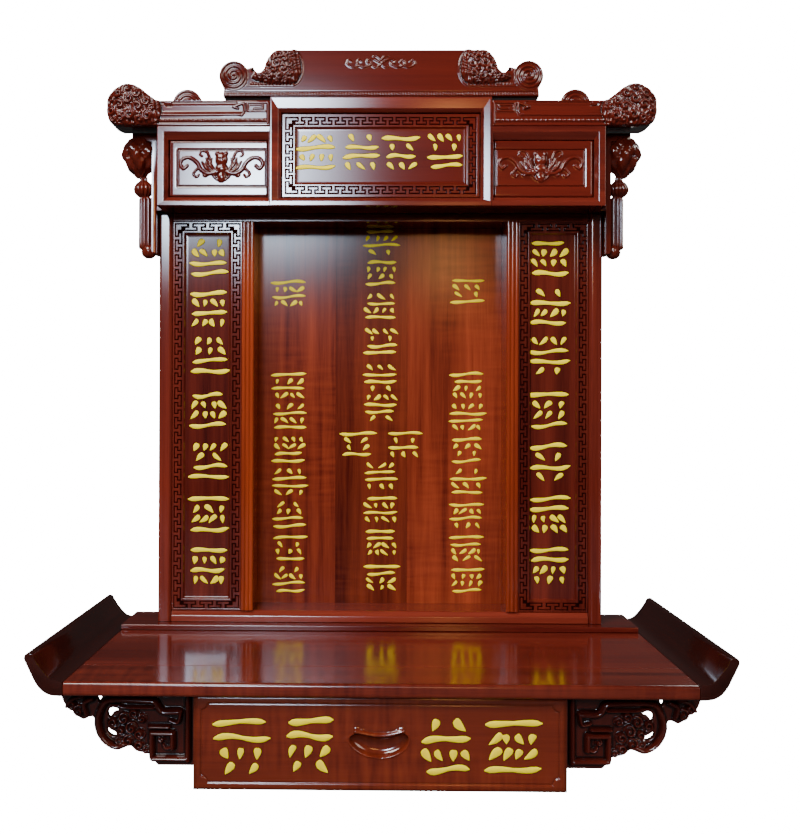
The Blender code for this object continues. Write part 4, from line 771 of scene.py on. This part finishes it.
def strokes(name, cells, wide, high, face_y, seed, body="shrine", rise=0.0011):
    """Rows of brush strokes that aren't letters: each cell has four rows, and each row is one long wave
    or a few short dabs. A stroke is a straight line plus bow sin(pi t) + wave sin(2 pi t) across it;
    its section is a low dome with a dark foot of painted shadow, point (stroke, station, place on the
    section)."""
    draw = np.random.default_rng(seed)
    lines = []
    for x, z in cells:
        long_rows = draw.permutation(4) < 2
        for row, is_long in zip((0.39, 0.13, -0.13, -0.39), long_rows):
            if is_long:
                reach, middle = draw.uniform(0.36, 0.5), draw.uniform(-0.04, 0.04)
                tilt = draw.uniform(0.0, 0.04)
                lines.append((x, z, middle - reach, row - tilt, middle + reach, row + tilt,
                              draw.uniform(-0.03, 0.03), draw.uniform(-0.035, 0.035),
                              draw.uniform(0.055, 0.068)))
                continue
            count = draw.integers(2, 5)
            for k in range(count):
                middle = (k + 0.5) / count * 0.88 - 0.44 + draw.uniform(-0.03, 0.03)
                lean, half = draw.uniform(-0.11, 0.11), draw.uniform(0.08, 0.105)
                lines.append((x, z, middle - lean, row + half, middle + lean, row - half,
                              draw.uniform(-0.02, 0.02), 0.0, draw.uniform(0.058, 0.08)))
    lines = np.array(lines)
    x, z, bow, wave, thick = (lines[:, k, None] for k in (0, 1, 6, 7, 8))
    start, end = lines[:, 2:4] * (wide, high), lines[:, 4:6] * (wide, high)
    t = np.linspace(0, 1, 13)[None]
    along = (end - start)[:, None]
    across = np.stack([-along[..., 1], along[..., 0]], -1) / np.linalg.norm(along, axis=2, keepdims=True)
    swing = high * (bow * np.sin(math.pi * t) + wave * np.sin(2 * math.pi * t))
    line = np.stack([x, z], -1) + start[:, None] + along * t[..., None] + across * swing[..., None]
    wave_taper = np.interp(t[0], [0, 0.05, 0.16, 0.5, 0.82, 0.93, 1],
                           [0.25, 0.8, 1.0, 0.62, 0.95, 0.75, 0.15])
    dab_taper = np.interp(t[0], [0, 0.08, 0.3, 0.6, 0.85, 1], [0.3, 0.78, 1.0, 0.78, 0.42, 0.1])
    taper = np.where(np.abs(wave) > 0, wave_taper, dab_taper)
    half = (high * thick * taper)[..., None]
    out = np.array([-1, -1, -1, -0.75, 0, 0.75, 1, 1, 1])
    foot = np.array([0.0007, 0.0007, 0, 0, 0, 0, 0, 0.0007, 0.0007])
    lift = np.array([-0.0003, 0.0002, 0.45 * rise, 0.85 * rise, rise, 0.85 * rise, 0.45 * rise, 0.0002,
                     -0.0003])
    flat = line[:, :, None] + across[:, :, None] * (half * out + np.sign(out) * foot)[..., None]
    points = np.stack([flat[..., 0], np.broadcast_to(face_y - lift, flat.shape[:3]), flat[..., 1]], -1)
    count, stations, around = points.shape[:3]
    offset = np.arange(count)[:, None, None] * stations * around
    one = [sheet_faces(stations, around, around=True),
           np.stack([np.arange(around), (stations - 1) * around + np.arange(around)[::-1]])]
    piece = show(name, points.reshape(-1, 3), [(offset + f).reshape(-1, f.shape[1]) for f in one], gilt)
    piece.data.materials.append(gilt_foot_shadow)
    # The foot's faces take the second material, the painted shadow.
    place = np.tile(np.arange(around), count * (stations - 1))
    edge = np.isin(place, (0, 1, 6, 7, 8)).astype(np.int32)
    piece.data.polygons.foreach_set("material_index", np.concatenate([edge, np.ones(2 * count, np.int32)]))
    return finished(piece, slot="gilt", body=body, sharp=50)


def shade_sunk_ground(piece, depth, material):
    """Gives the level ground cut to a depth a second, darker material: painted shade on the sunk ground."""
    piece.data.materials.append(material)
    middle, out = np.empty((2, len(piece.data.polygons) * 3))
    piece.data.polygons.foreach_get("center", middle)
    piece.data.polygons.foreach_get("normal", out)
    dark = (np.abs(middle[1::3] - depth) < 0.0004) & (np.abs(out[1::3]) > 0.8)
    piece.data.polygons.foreach_set("material_index", dark.astype(np.int32))
    return piece


# Painted shade: the sunk ground between the fret's keys is near black and has no coat, so it shows no
# reflection.
fret_painted_shade = lacquer("painted_shade_fret_ground", (0.006, 0.001, 0.0008), (0.014, 0.002, 0.0014), coat=0.0)
FRET_DEPTH = 0.0022


def fretted_board(node, board, fret, y_face, margin, inner, sunk, pitch, material):
    """A board with a square fret, in place of its node: a rail to the margin, a sunk band with keys, a
    second rail to the inset inner, and a field that slopes to its depth, sunk."""
    low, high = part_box(node)
    y_band = y_face + FRET_DEPTH
    insets = [(0, high.y), (0, y_face), (margin, y_face), (margin + 0.0004, y_band),
              (margin + 0.0114, y_band), (margin + 0.0118, y_face), (inner, y_face),
              (inner + 0.0025, y_face + sunk), (inner + 0.007, y_face + sunk + 0.0002)]
    levels = [(low.x + inset, high.x - inset, low.z + inset, high.z - inset, y) for inset, y in insets]
    made = moulded(board, levels, [0, 0.0006, 0.0006, 0, 0, 0.0005, 0.0006, 0.001, 0], material, ring=False)
    keep_mitres(finished(made, node))
    # The sunk band's ground takes the painted shade.
    shade_sunk_ground(made, y_band, fret_painted_shade)
    edge = margin + 0.0001
    finished(fret_keys(fret, low.x + edge, high.x - edge, low.z + edge, high.z - edge, y_band, y_face, pitch,
                       material))


COUPLET_ROWS, COUPLET_COLUMNS, Y_COUPLET = (258, 308, 356, 410, 462, 514, 565), (209, 549), 0.1345
red_couplet = lacquer("red_lacquer_couplet", (0.037, 0.0033, 0.0023), (0.125, 0.0155, 0.008))
for column, (side, word) in zip(COUPLET_COLUMNS, SIDES):
    fretted_board("couplet_panel_" + word, "couplet_board_" + word, "couplet_fret_" + word, Y_COUPLET, 0.0024,
                  0.017, 0.0032, KEY_PITCH, red_couplet)
    strokes("couplet_strokes_" + word, spots([(column, row) for row in COUPLET_ROWS], Y_COUPLET + 0.0032),
            0.064, 0.059, Y_COUPLET + 0.0033, 11 + side)

# Reeded uprights: strips of amber stained wood at the sides of the niche, with three round reeds
# planed along them, glued to the couplet panels.
amber_upright = lacquer("amber_lacquer_upright", (0.1, 0.0095, 0.0035), (0.28, 0.04, 0.0095), shift=0.41,
                        figure=0.7)
REED_RISE = 0.0024


def reeded_strip(low, high):
    """Three humps side by side, each the sine over nearly half a turn, carried up the strip."""
    reed = (high.x - low.x) / 3
    hump = np.radians(np.linspace(12, 168, 9))
    tops = [np.stack([low.x + (k + 0.5) * reed - reed * 0.51 * np.cos(hump),
                      low.y + REED_RISE - REED_RISE * np.sin(hump)], 1) for k in range(3)]
    shoulder = low.y + REED_RISE + 0.0002
    section = np.concatenate([*tops, [(high.x, shoulder), (high.x, high.y), (low.x, high.y),
                                      (low.x, shoulder)]])
    return carried(section, low.z, high.z, "z")


mirrored("reeded_strip", "reeded_upright", amber_upright, reeded_strip, AMBER_SLOT, 50)

# Niche back: upright planks of amber stained wood with bold figure, butted edge to edge; the seams
# show beside the middle plank. Three columns of gilt strokes lie on them.
PLANK_DARK, PLANK_LIGHT, Y_PLANKS = (0.052, 0.005, 0.0028), (0.205, 0.031, 0.011), 0.208
# Each plank has its own tone. The right and far right planks are lighter partly by their own tone and partly
# as painted light, for the warm light on the niche's right side.
PLANK_TONES_AND_LIGHT = {"far_left": 1.05, "left": 1.1, "middle": 0.78, "right": 1.12, "far_right": 1.35}
for n, (word, plank_tone_and_light) in enumerate(PLANK_TONES_AND_LIGHT.items()):
    dark, light = (tuple(plank_tone_and_light * part for part in colour) for colour in (PLANK_DARK, PLANK_LIGHT))
    plank = lacquer("amber_lacquer_" + word, dark, light, shift=0.29 * n, figure=1.1, gloss=0.14, flame=0.6,
                    coat=0.3)
    eased_board("back_plank_" + word, plank, slot=AMBER_SLOT, axis="z", radius=0.0002, butted=0.00015)

# Strokes of the niche and of the drawer: gilt laid in shallow relief, in columns and rows given in
# pixels of the photograph.
SIDE_ROWS = (385, 417, 450, 482, 515, 548, 580)
MIDDLE_ROWS = (242, 273, 307, 342, 378, 408, 476, 509, 542, 577)
NICHE_MARKS = [*((289, row) for row in (293, *SIDE_ROWS)), *((467, row) for row in (291, *SIDE_ROWS)),
               *((381, row) for row in MIDDLE_ROWS), (357, 444), (404, 444)]
DRAWER_MARKS = ((241, 746), (309, 744), (447, 748), (513, 747))
strokes("niche_strokes", spots(NICHE_MARKS, Y_PLANKS), 0.06, 0.043, Y_PLANKS + 0.0005, 7)
strokes("drawer_strokes", spots(DRAWER_MARKS, Y_DRAWER), 0.072, 0.072, Y_DRAWER + 0.0008, 21, "drawer",
        0.0014)

# Frieze box: plain lacquered boards, glued up into a box that overhangs the cabinet, with a block for
# the name plaque in the middle; it carries the crests.
for node in ("frieze_soffit", "frieze_top", "frieze_back"):
    eased_board(node, red_across)
for node in ("frieze_side_left", "frieze_side_right"):
    eased_board(node, red_upright, axis="z")
eased_board("plaque_block", red_across)

# Side fields of the frieze: a splayed frame, mitred at its corners, round a panel with a fine line
# cut into it and a bat between two scrolls carved in low relief.
Y_FRIEZE, Y_FIELD, Y_FRAME_BACK = 0.0628, 0.0708, 0.0808
red_polished = lacquer("red_lacquer_polished", (0.045, 0.0032, 0.0018), (0.13, 0.012, 0.005), "x", 0.55,
                       figure=0.5)
red_carved = lacquer("red_lacquer_carved", (0.04, 0.0034, 0.002), (0.11, 0.0105, 0.005), "x", 0.15,
                     figure=0.6, recess_shade=0.9)
BAT_X, BAT_Z, FIELD_X, FIELD_Z = 0.23665, 0.833, 0.23615, 0.8328
bat_parts = [
    ([(0.051, 0.0029), (0.0569, -0.0015), (0.0612, 0.0058), (0.0569, 0.0131), (0.0466, 0.0146),
      (0.0364, 0.0073), (0.0306, -0.0029), (0.0204, -0.0087), (0.01, -0.0073)], 0.0036, 1.5),
    ([(0.0175, 0.013), (0.0215, 0.0225), (0.029, 0.025), (0.032, 0.0195), (0.0285, 0.0165)], 0.003, 0.5),
    ([(0.036, -0.002), (0.042, -0.009), (0.037, -0.014), (0.0335, -0.0105)], 0.0028, 0.6),
    ([(0.012, -0.003), (0.016, 0.006), (0.015, 0.013)], 0.004, 0.5),
    ([(0.018, -0.004), (0.023, 0.003), (0.0225, 0.009)], 0.0034, 0.5),
    ([(0.006, -0.006), (0.012, -0.011), (0.006, -0.018)], 0.0036, 0.6),
    ([(0.007, -0.007), (0.0175, 0.003), (0.0225, 0.014)], 0.0044, 0.4),
    ([(0.0085, -0.008), (0.0225, -0.0015), (0.029, 0.0085)], 0.0046, 0.4),
    ([(0.01, -0.0095), (0.0245, -0.0065), (0.033, 0.002)], 0.0046, 0.4)]


def bat_relief(x, z):
    """Half-round ribs for wings, hooks and ears about a domed head and body, taken as their highest,
    and a fine line round the field, a bell curve of the distance from a rectangle."""
    dx, dz = np.abs(x - BAT_X), z - BAT_Z
    near = (dx < 0.07) & (np.abs(dz) < 0.034)
    ax, az = dx[near], dz[near]
    forms = [rib(ax, az, through(line), wide, 0.0022, end) for line, wide, end in bat_parts]
    forms += [dome(ax, az, (0, 0.012), 0.0086, 0.0038, 1.25), dome(ax, az, (0, -0.0015), 0.0092, 0.0034, 0.8),
              dome(ax, az, (0, -0.014), 0.0066, 0.003, 1.2), dome(ax, az, (0.0062, 0.0205), 0.003, 0.0026),
              curl(ax, az, (0.0105, -0.006), 0.006, 0.0026, 1.0), curl(ax, az, (0.024, -0.01), 0.004, 0.0022)]
    eye = 0.0012 * bell(np.hypot(ax - 0.0025, az - 0.013), 0.0012)
    height = np.zeros(x.shape)
    height[near] = np.maximum.reduce(forms) - eye
    line = np.maximum(np.abs(x - FIELD_X) - 0.0655, np.abs(z - FIELD_Z) - 0.027)
    return height - 0.0014 * bell(line, 0.0008)


for side, word in SIDES:
    low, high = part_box("frieze_frame_" + word)
    x0, x1 = sorted((abs(low.x), abs(high.x)))
    frame_levels = np.array([
        (x0, x1, low.z, high.z, Y_FRAME_BACK), (x0, x1, low.z, high.z, Y_FRIEZE),
        (x0 + 0.0015, x1 - 0.0105, low.z + 0.0068, high.z - 0.0085, Y_FRIEZE + 0.0001),
        (x0 + 0.004, x1 - 0.016, low.z + 0.0135, high.z - 0.019, Y_FIELD - 0.0006),
        (x0 + 0.004, x1 - 0.0165, low.z + 0.014, high.z - 0.0195, Y_FRAME_BACK)])
    if side < 0:
        frame_levels[:, [0, 1]] = -frame_levels[:, [1, 0]]
    border = moulded("frieze_border_" + word, frame_levels, [0.0006, 0.0012, 0.0012, 0.0004, 0.0004],
                     red_across)
    keep_mitres(finished(border, "frieze_frame_" + word))
    low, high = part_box("frieze_panel_" + word)
    x0, x1 = sorted((abs(low.x), abs(high.x)))
    xs = ruled(x0, x1, 0.003, (0.17, 0.1725, 0.0003), (0.3, 0.303, 0.0003), (0.1735, 0.2995, 0.00075))
    zs = ruled(low.z, high.z, 0.002, (0.8045, 0.8075, 0.0003), (0.808, 0.859, 0.00075),
               (0.8585, 0.8612, 0.0003))
    field_loop = [(x0, low.z), (x1, low.z), (x1, high.z), (x0, high.z)]
    bat = carve("frieze_bat_" + word, xs, zs, [field_loop], bat_relief, Y_FIELD, high.y, 0.0003, side,
                red_carved)
    finished(bat, "frieze_panel_" + word, sharp=0)

# Name plaque: a taller block in the middle with a deep splayed frame; in it a board with a square
# fret round a polished field, and four groups of gilt strokes.
X_BLOCK, X_BEVEL, X_OPEN, Z_OPEN = 0.1638, 0.152, 0.1466, (0.789, 0.9135)
low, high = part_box("plaque_frame")
plaque_border = moulded("plaque_border", [
    (-X_BLOCK, X_BLOCK, low.z, high.z, Y_FRAME_BACK), (-X_BLOCK, X_BLOCK, low.z, high.z, Y_FRIEZE),
    (-X_BLOCK + 0.002, X_BLOCK - 0.002, low.z + 0.007, high.z - 0.002, Y_FRIEZE),
    (-X_BEVEL, X_BEVEL, low.z + 0.0095, 0.9195, Y_FRIEZE + 0.001),
    (-X_OPEN - 0.0012, X_OPEN + 0.0012, Z_OPEN[0] - 0.001, Z_OPEN[1] + 0.001, Y_FRIEZE + 0.0055),
    (-X_OPEN, X_OPEN, Z_OPEN[0], Z_OPEN[1], Y_FRAME_BACK)],
    [0.0006, 0.001, 0.001, 0.0008, 0.0008, 0.0004], red_across)
keep_mitres(finished(plaque_border, "plaque_frame"))
fretted_board("plaque_panel", "plaque_board", "plaque_fret", Y_FIELD, 0.0045, 0.019, 0.003, 0.0203,
              red_polished)
PLAQUE_MARKS = ((317, 153), (361, 152), (402, 152), (445, 152))
strokes("plaque_strokes", spots(PLAQUE_MARKS, Y_FIELD + 0.0032), 0.06, 0.054, Y_FIELD + 0.0033, 5)

# Side crests: thick boards on the side fields, carved with a square hook, a cloud hook and a bead row,
# with a curled head that reaches past the frieze and a half disc that stands up from the top.
X_CREST, X_SIDE, Z_CREST, HIGH_CREST = 0.1641, 0.332, 0.8935, 0.038
LONG_HEAD, HIGH_HEAD = 0.074, 0.0625
DISC_X, DISC_Z, DISC_R, RING_APART = 0.287, 0.9262, 0.0216, 0.0062


def on_head(points):
    """Places on the curled head from shares of its length, outwards, and of its height, upwards."""
    return np.array([X_SIDE, Z_CREST]) + np.asarray(points, float) * (LONG_HEAD, HIGH_HEAD)


def beads(x, z, row, half, height, pitch, low, high):
    """A row of beads: half-round in section, and swelling along the row as the root of a cosine."""
    swell = np.sqrt(np.abs(np.cos(math.pi * x / pitch)))
    return height * half_round((z - row) / half) * swell * ((x > low) & (x < high))


def chipped(x, z):
    """Ground cut into small leaves: the product of two crossing sines whose lines are bent by a third."""
    bend = 1.5 * np.sin((x + z) * 210)
    return 0.0014 + 0.0016 * np.sin((1.6 * x + z) * 400 + bend) * np.sin((x - 1.6 * z) * 360 - bend)


def heap(height, where, x, z, placed, curls, radius, high, outline, reach, swell):
    """Inside an outline, in place of the height there: the highest of snail curls and chipped ground,
    on a swelling that rises from the outline in a quarter circle over its reach."""
    hx, hz = x[where], z[where]
    lumps = [curl(hx, hz, placed([(u, v)])[0], radius * r, high * r ** 0.5, 1.2, sense)
             for u, v, r, sense in curls]
    inside = depth_inside(hx, hz, [outline])
    rise = swell * np.sqrt(1 - (1 - np.clip(inside / reach, 0, 1)) ** 2)
    raised = np.maximum.reduce([*lumps, chipped(hx, hz)]) + rise
    height[where] = np.where(inside > 0, raised, height[where])


turn = np.radians(np.linspace(14.2, 165.8, 25))
head_curve = through(on_head([(0.8, 0.0), (0.95, 0.1), (1.0, 0.3), (1.0, 0.52), (0.96, 0.72), (0.76, 0.94),
                              (0.55, 1.0), (0.35, 0.91), (0.19, 0.765), (0.035, 0.626)]))
head_back = through(on_head([(-0.03, 0.6), (-0.09, 0.42), (-0.06, 0.2), (0.02, 0.0)]))
head_side = np.concatenate([head_back, head_curve])
crest_loop = np.concatenate([
    [(X_CREST, Z_CREST)], head_curve, [(X_SIDE - 0.0022, Z_CREST + HIGH_CREST)],
    np.stack([DISC_X + DISC_R * np.cos(turn), DISC_Z + DISC_R * np.sin(turn)], 1),
    [(X_CREST, Z_CREST + HIGH_CREST)]])
crest_ribs = [
    ([(0.3346, 0.91), (0.3407, 0.9124), (0.339, 0.9165), (0.333, 0.916), (0.3291, 0.9108), (0.32, 0.9097),
      (0.2775, 0.9096), (0.213, 0.91), (0.2061, 0.9092), (0.2022, 0.9164), (0.2034, 0.9265)], 0.0032, True),
    ([(0.2034, 0.927), (0.2116, 0.9241), (0.2185, 0.9214), (0.2116, 0.919)], 0.003, False),
    ([(0.1705, 0.9151), (0.1965, 0.9151), (0.1979, 0.9274), (0.1672, 0.928), (0.1672, 0.8975)], 0.003, False),
    ([(0.1924, 0.924), (0.1746, 0.924), (0.1746, 0.919), (0.188, 0.919)], 0.0024, False)]
crest_line = [(0.3435, 0.9275), (0.3221, 0.9272), (0.3174, 0.9232), (0.311, 0.9232), (0.31, 0.928),
              (0.214, 0.9284)]
head_curls = [
    (0.08, 0.4, 0.6, -1), (0.2, 0.56, 0.75, 1), (0.17, 0.22, 0.85, 1), (0.38, 0.76, 0.85, 1),
    (0.36, 0.42, 0.9, -1), (0.33, 0.12, 0.65, -1), (0.58, 0.86, 0.85, -1), (0.55, 0.62, 0.85, 1),
    (0.52, 0.26, 0.95, 1), (0.77, 0.76, 0.85, 1), (0.73, 0.46, 0.95, -1), (0.71, 0.14, 0.75, -1),
    (0.9, 0.58, 0.7, -1), (0.9, 0.33, 0.8, 1), (0.45, 0.93, 0.45, 1), (0.64, 0.33, 0.45, 1),
    (0.86, 0.15, 0.55, 1), (0.47, 0.46, 0.4, -1), (0.69, 0.62, 0.4, 1)]


PLAIN = 0.0003      # below this rise the board counts as plain wood


def crest_relief(x, z):
    """The highest of a bead row, the hooks' ribs and rings, a cosine, on the half disc; on the head,
    curls over chipped ground on a swelling. Plain wood has a sunk field, a groove along the crest line
    and a fine line above the foot, the last two bell curves of the distance."""
    forms = [np.zeros(x.shape), beads(x, z, 0.902, 0.0018, 0.0013, 0.007, 0.17, 0.344)]
    forms += [rib(x, z, through(line) if bent else line, wide, 0.0016) for line, wide, bent in crest_ribs]
    out = np.hypot(x - DISC_X, z - DISC_Z)
    ring = (z > Z_CREST + HIGH_CREST) & (out < DISC_R + 0.001)
    forms += [np.where(ring, 0.0008 + 0.0008 * np.cos(2 * math.pi * out / RING_APART), 0.0)]
    height = np.maximum.reduce(forms)
    heap(height, x > X_SIDE - 0.009, x, z, on_head, head_curls, 0.0112, 0.0064, head_side, 0.024, 0.0075)
    groove = 0.0015 * bell(distance(x, z, crest_line)[0], 0.0008)
    cove = 0.0012 * np.clip(np.minimum(z - 0.9115, 0.9275 - z) / 0.004, 0, 1) * ((x > 0.2) & (x < 0.34))
    foot = 0.001 * bell(z - 0.8985, 0.0007) * (x < 0.344)
    return height - np.where(height < PLAIN, cove + groove + foot, 0.0)


xs = ruled(X_CREST - MARGIN, X_SIDE + LONG_HEAD + 0.0012, 0.00065)
zs = ruled(Z_CREST - MARGIN, Z_CREST + HIGH_HEAD + 0.0012, 0.00065)
for side, word in SIDES:
    crest = carve("side_crest_carved_" + word, xs, zs, [crest_loop], crest_relief, Y_FRIEZE, Y_FRIEZE + 0.05,
                  0.0016, side, red_carved)
    finished(crest, "side_crest_" + word, sharp=0)

# Upper crest: one long board on the name plaque, with scroll discs at its ends, clusters of curls
# beside a sunk field, a small scroll in the middle of it, and a bead row over the lip below.
Z_TOP_CREST, HIGH_TOP, X_TOP = 0.9371, 0.0689, 0.2398
SCROLL_X, SCROLL_Z, SCROLL_R, LONG_CLUSTER = 0.2181, 0.9678, 0.0217, 0.09


def on_cluster(points):
    """Places between a scroll disc and the flat top, from shares of the stretch and of the height."""
    return np.array([SCROLL_X, Z_TOP_CREST]) + np.asarray(points, float) * (-LONG_CLUSTER, HIGH_TOP)


turn = np.radians(np.linspace(-50, 150, 33))
right_half = np.concatenate([
    [(X_TOP - 0.0063, Z_TOP_CREST), (X_TOP - 0.0063, Z_TOP_CREST + 0.0063)],
    np.stack([SCROLL_X + SCROLL_R * np.cos(turn), SCROLL_Z + SCROLL_R * np.sin(turn)], 1),
    through(on_cluster([(0.317, 0.638), (0.383, 0.515), (0.439, 0.501), (0.489, 0.566), (0.52, 0.697),
                        (0.56, 0.8), (0.606, 0.856), (0.65, 0.93), (0.73, 0.972), (0.83, 0.975),
                        (0.93, 0.968)])),
    [(SCROLL_X - LONG_CLUSTER, Z_TOP_CREST + HIGH_TOP)]])
crest_top_loop = np.concatenate([right_half, (right_half * (-1, 1))[::-1]])
turn = np.linspace(0, 2 * math.pi, 16, endpoint=False)
hole_at = on_cluster([(0.317, 0.575)])[0]
peep = hole_at + 0.0024 * np.stack([np.cos(turn), np.sin(turn)], 1)
top_curls = [
    (0.45, 0.42, 0.6, 1), (0.52, 0.5, 0.7, -1), (0.6, 0.4, 0.6, 1), (0.58, 0.64, 0.85, 1),
    (0.66, 0.54, 0.8, -1), (0.64, 0.8, 0.75, -1), (0.72, 0.69, 0.85, 1), (0.74, 0.88, 0.75, 1),
    (0.76, 0.42, 0.65, 1), (0.82, 0.58, 0.8, -1), (0.84, 0.77, 0.85, -1), (0.87, 0.92, 0.6, 1),
    (0.93, 0.68, 0.7, 1), (0.91, 0.45, 0.65, -1), (0.97, 0.86, 0.6, -1), (0.38, 0.44, 0.45, 1),
    (0.7, 0.32, 0.4, -1), (0.86, 0.33, 0.4, 1)]
field_line = through([(0.1232, 1.008), (0.116, 0.996), (0.1137, 0.985), (0.1128, 0.974), (0.1076, 0.9688)])
field_side = np.concatenate([field_line, [(0, 0.9687), (0, 1.009)]])
field_rim = [(0.1258, 1.0045), (0.118, 0.993), (0.1157, 0.9767), (0.1185, 0.963), (0.1262, 0.9545),
             (0.14, 0.9525), (0.198, 0.9525)]
cluster_side = through([
    (0.1905, 0.964), (0.185, 0.9725), (0.174, 0.9765), (0.169, 0.9905), (0.1571, 1.01), (0.13, 1.012),
    (0.122, 0.999), (0.1187, 0.985), (0.119, 0.969), (0.1295, 0.956), (0.1569, 0.956), (0.174, 0.9575)],
    closed=True)
motif = [([(0.002, 0.987), (0.012, 0.992), (0.0205, 0.99), (0.018, 0.985), (0.014, 0.987)], 0.0026),
         ([(0.015, 0.984), (0.026, 0.98), (0.035, 0.985), (0.033, 0.991), (0.028, 0.988)], 0.0024),
         ([(0.03, 0.983), (0.042, 0.98), (0.05, 0.985), (0.048, 0.991), (0.043, 0.988)], 0.0024),
         ([(0.0, 0.99), (0.005, 0.996), (0.011, 0.9965)], 0.0022),
         ([(0.0, 0.985), (0.006, 0.98), (0.012, 0.981)], 0.0022)]


def top_relief(x, z):
    """The highest of a spiral on each disc, two bead rows and the rim of the field; on the clusters,
    curls over chipped ground on a swelling. The field is sunk and has a scroll of ribs in its middle;
    a lip stands out at the foot, with a fine line, a bell curve, cut above it."""
    ax = np.abs(x)
    out = np.hypot(ax - SCROLL_X, z - SCROLL_Z)
    swirl = np.cos(2 * math.pi * out / RING_APART - np.arctan2(z - SCROLL_Z, ax - SCROLL_X))
    forms = [np.where(out < SCROLL_R, 0.0016 + 0.0011 * swirl, 0.0),
             beads(ax, z, 0.9411, 0.0015, 0.0016, 0.0042, 0.0, 0.229),
             beads(ax, z, 0.9556, 0.002, 0.0022, 0.0052, 0.128, 0.193),
             rib(ax, z, through(field_rim), 0.0022, 0.0012)]
    height = np.maximum.reduce(forms)
    lumped = (ax > 0.112) & (ax < 0.205) & (z > 0.955)
    heap(height, lumped, ax, z, on_cluster, top_curls, 0.0104, 0.0062, cluster_side, 0.016, 0.006)
    inner = depth_inside(ax, z, [field_side])
    sunk = 0.0016 * np.clip((inner + 0.0004) / 0.0014, 0, 1) * (inner > -0.0004)
    middle = ax < 0.056
    scroll = np.zeros(x.shape)
    scroll[middle] = np.maximum.reduce([
        rib(ax[middle], z[middle], through(line), wide, 0.0014, 0.7) for line, wide in motif])
    lip = 0.0022 * (z < 0.9392) * (ax < X_TOP - 0.0063)
    under = 0.0008 * bell(z - 0.9437, 0.0007)
    return np.maximum(height - sunk * (height < PLAIN), lip) + scroll - under


xs = ruled(-X_TOP - MARGIN, X_TOP + MARGIN, 0.00105, (-0.206, -0.112, 0.0008), (0.112, 0.206, 0.0008))
zs = ruled(Z_TOP_CREST - MARGIN, Z_TOP_CREST + HIGH_TOP + MARGIN, 0.00065)
top_board = carve("upper_crest_carved", xs, zs, [crest_top_loop, peep, peep * (-1, 1)], top_relief, Y_FRIEZE,
                  Y_FRIEZE + 0.045, 0.0016, 1, red_carved)
finished(top_board, "upper_crest", sharp=0)

# Pendants: hanging pieces glued beside the frieze: a stepped plate with a collar, and on it a carved
# bulb, a melon ball, a fluted column and a small ball, turned and then cut by hand.
Y_PENDANT, PENDANT_DEPTH = 0.124, (0.108, 0.146)


def turned(profile, place, ripple, steps=48):
    """A shape turned about an upright line: its radius at angle a, share s down, is that of the
    profile there plus ripple(a, s). Point (row, step); both ends are closed by one face."""
    angle = 2 * math.pi * np.arange(steps) / steps
    share = np.linspace(0, 1, len(profile))[:, None]
    reach = profile[:, :1] + ripple(angle[None], share) * np.sin(math.pi * share) ** 0.5
    z = np.broadcast_to(profile[:, 1:], reach.shape)
    points = np.stack([place[0] + reach * np.cos(angle), place[1] + reach * np.sin(angle), z], -1)
    ends = np.array([np.arange(steps), (len(profile) - 1) * steps + np.arange(steps)[::-1]])
    return points.reshape(-1, 3), [sheet_faces(len(profile), steps, around=True), ends]


def together(shapes):
    """Several closed shapes as one set of points and faces."""
    start, points, faces = 0, [], []
    for more, sheets in shapes:
        points.append(more)
        faces += [sheet + start for sheet in sheets]
        start += len(more)
    return np.concatenate(points), faces


def flutes(count, depth):
    """Flutes as the absolute cosine of half the count times the angle, drawn in by the depth."""
    return lambda angle, share: depth * (np.abs(np.cos(count * angle / 2)) - 1) + 0 * share


def bulb_swirl(angle, share):
    """Leaves wound about the bulb: the root of the absolute sine of an angle that turns with the share
    down, less a second, finer set the other way."""
    leaves = np.sqrt(np.abs(np.sin(3 * angle + 5.0 * share)))
    return 0.0076 * (leaves - 0.9) + 0.002 * np.sin(10 * angle - 16.0 * share) * leaves


bulb = through([(0.009, 0.8895), (0.0165, 0.8865), (0.0228, 0.88), (0.0265, 0.8705), (0.027, 0.862),
                (0.0248, 0.8515), (0.019, 0.841), (0.0115, 0.8335), (0.006, 0.8275)], 5)
melon = through([(0.006, 0.829), (0.0066, 0.8235), (0.012, 0.8185), (0.0156, 0.811), (0.0135, 0.804),
                 (0.0085, 0.799), (0.006, 0.7975)], 5)
column = through([(0.006, 0.8), (0.0098, 0.796), (0.0102, 0.79), (0.0102, 0.75), (0.0102, 0.724),
                  (0.0092, 0.7195), (0.006, 0.718)], 4)
drop = through([(0.005, 0.726), (0.01, 0.722), (0.0119, 0.715), (0.01, 0.7085), (0.005, 0.7045)], 5)
plate = rounded([(0.3323, 0.7756), (0.3411, 0.7756), (0.3411, 0.71), (0.3468, 0.71), (0.3484, 0.714),
                 (0.3484, 0.8815), (0.3784, 0.8832), (0.3784, 0.8932), (0.3323, 0.8932)], 0.0012)
pendant_shapes = [
    carried(plate, *PENDANT_DEPTH, "y"),
    turned(bulb, (0.368, Y_PENDANT), bulb_swirl),
    turned(melon, (0.3635, Y_PENDANT), flutes(12, 0.0022)),
    turned(column, (0.3608, Y_PENDANT), flutes(8, 0.0032)),
    turned(drop, (0.3548, Y_PENDANT), flutes(8, 0.0006))]
dark_pendant = lacquer("dark_lacquer_pendant", (0.04, 0.0042, 0.0024), (0.12, 0.0125, 0.0055), figure=0.6)
mirrored("pendant_carved", "pendant", dark_pendant, lambda low, high: together(pendant_shapes), DARK_SLOT, 50)
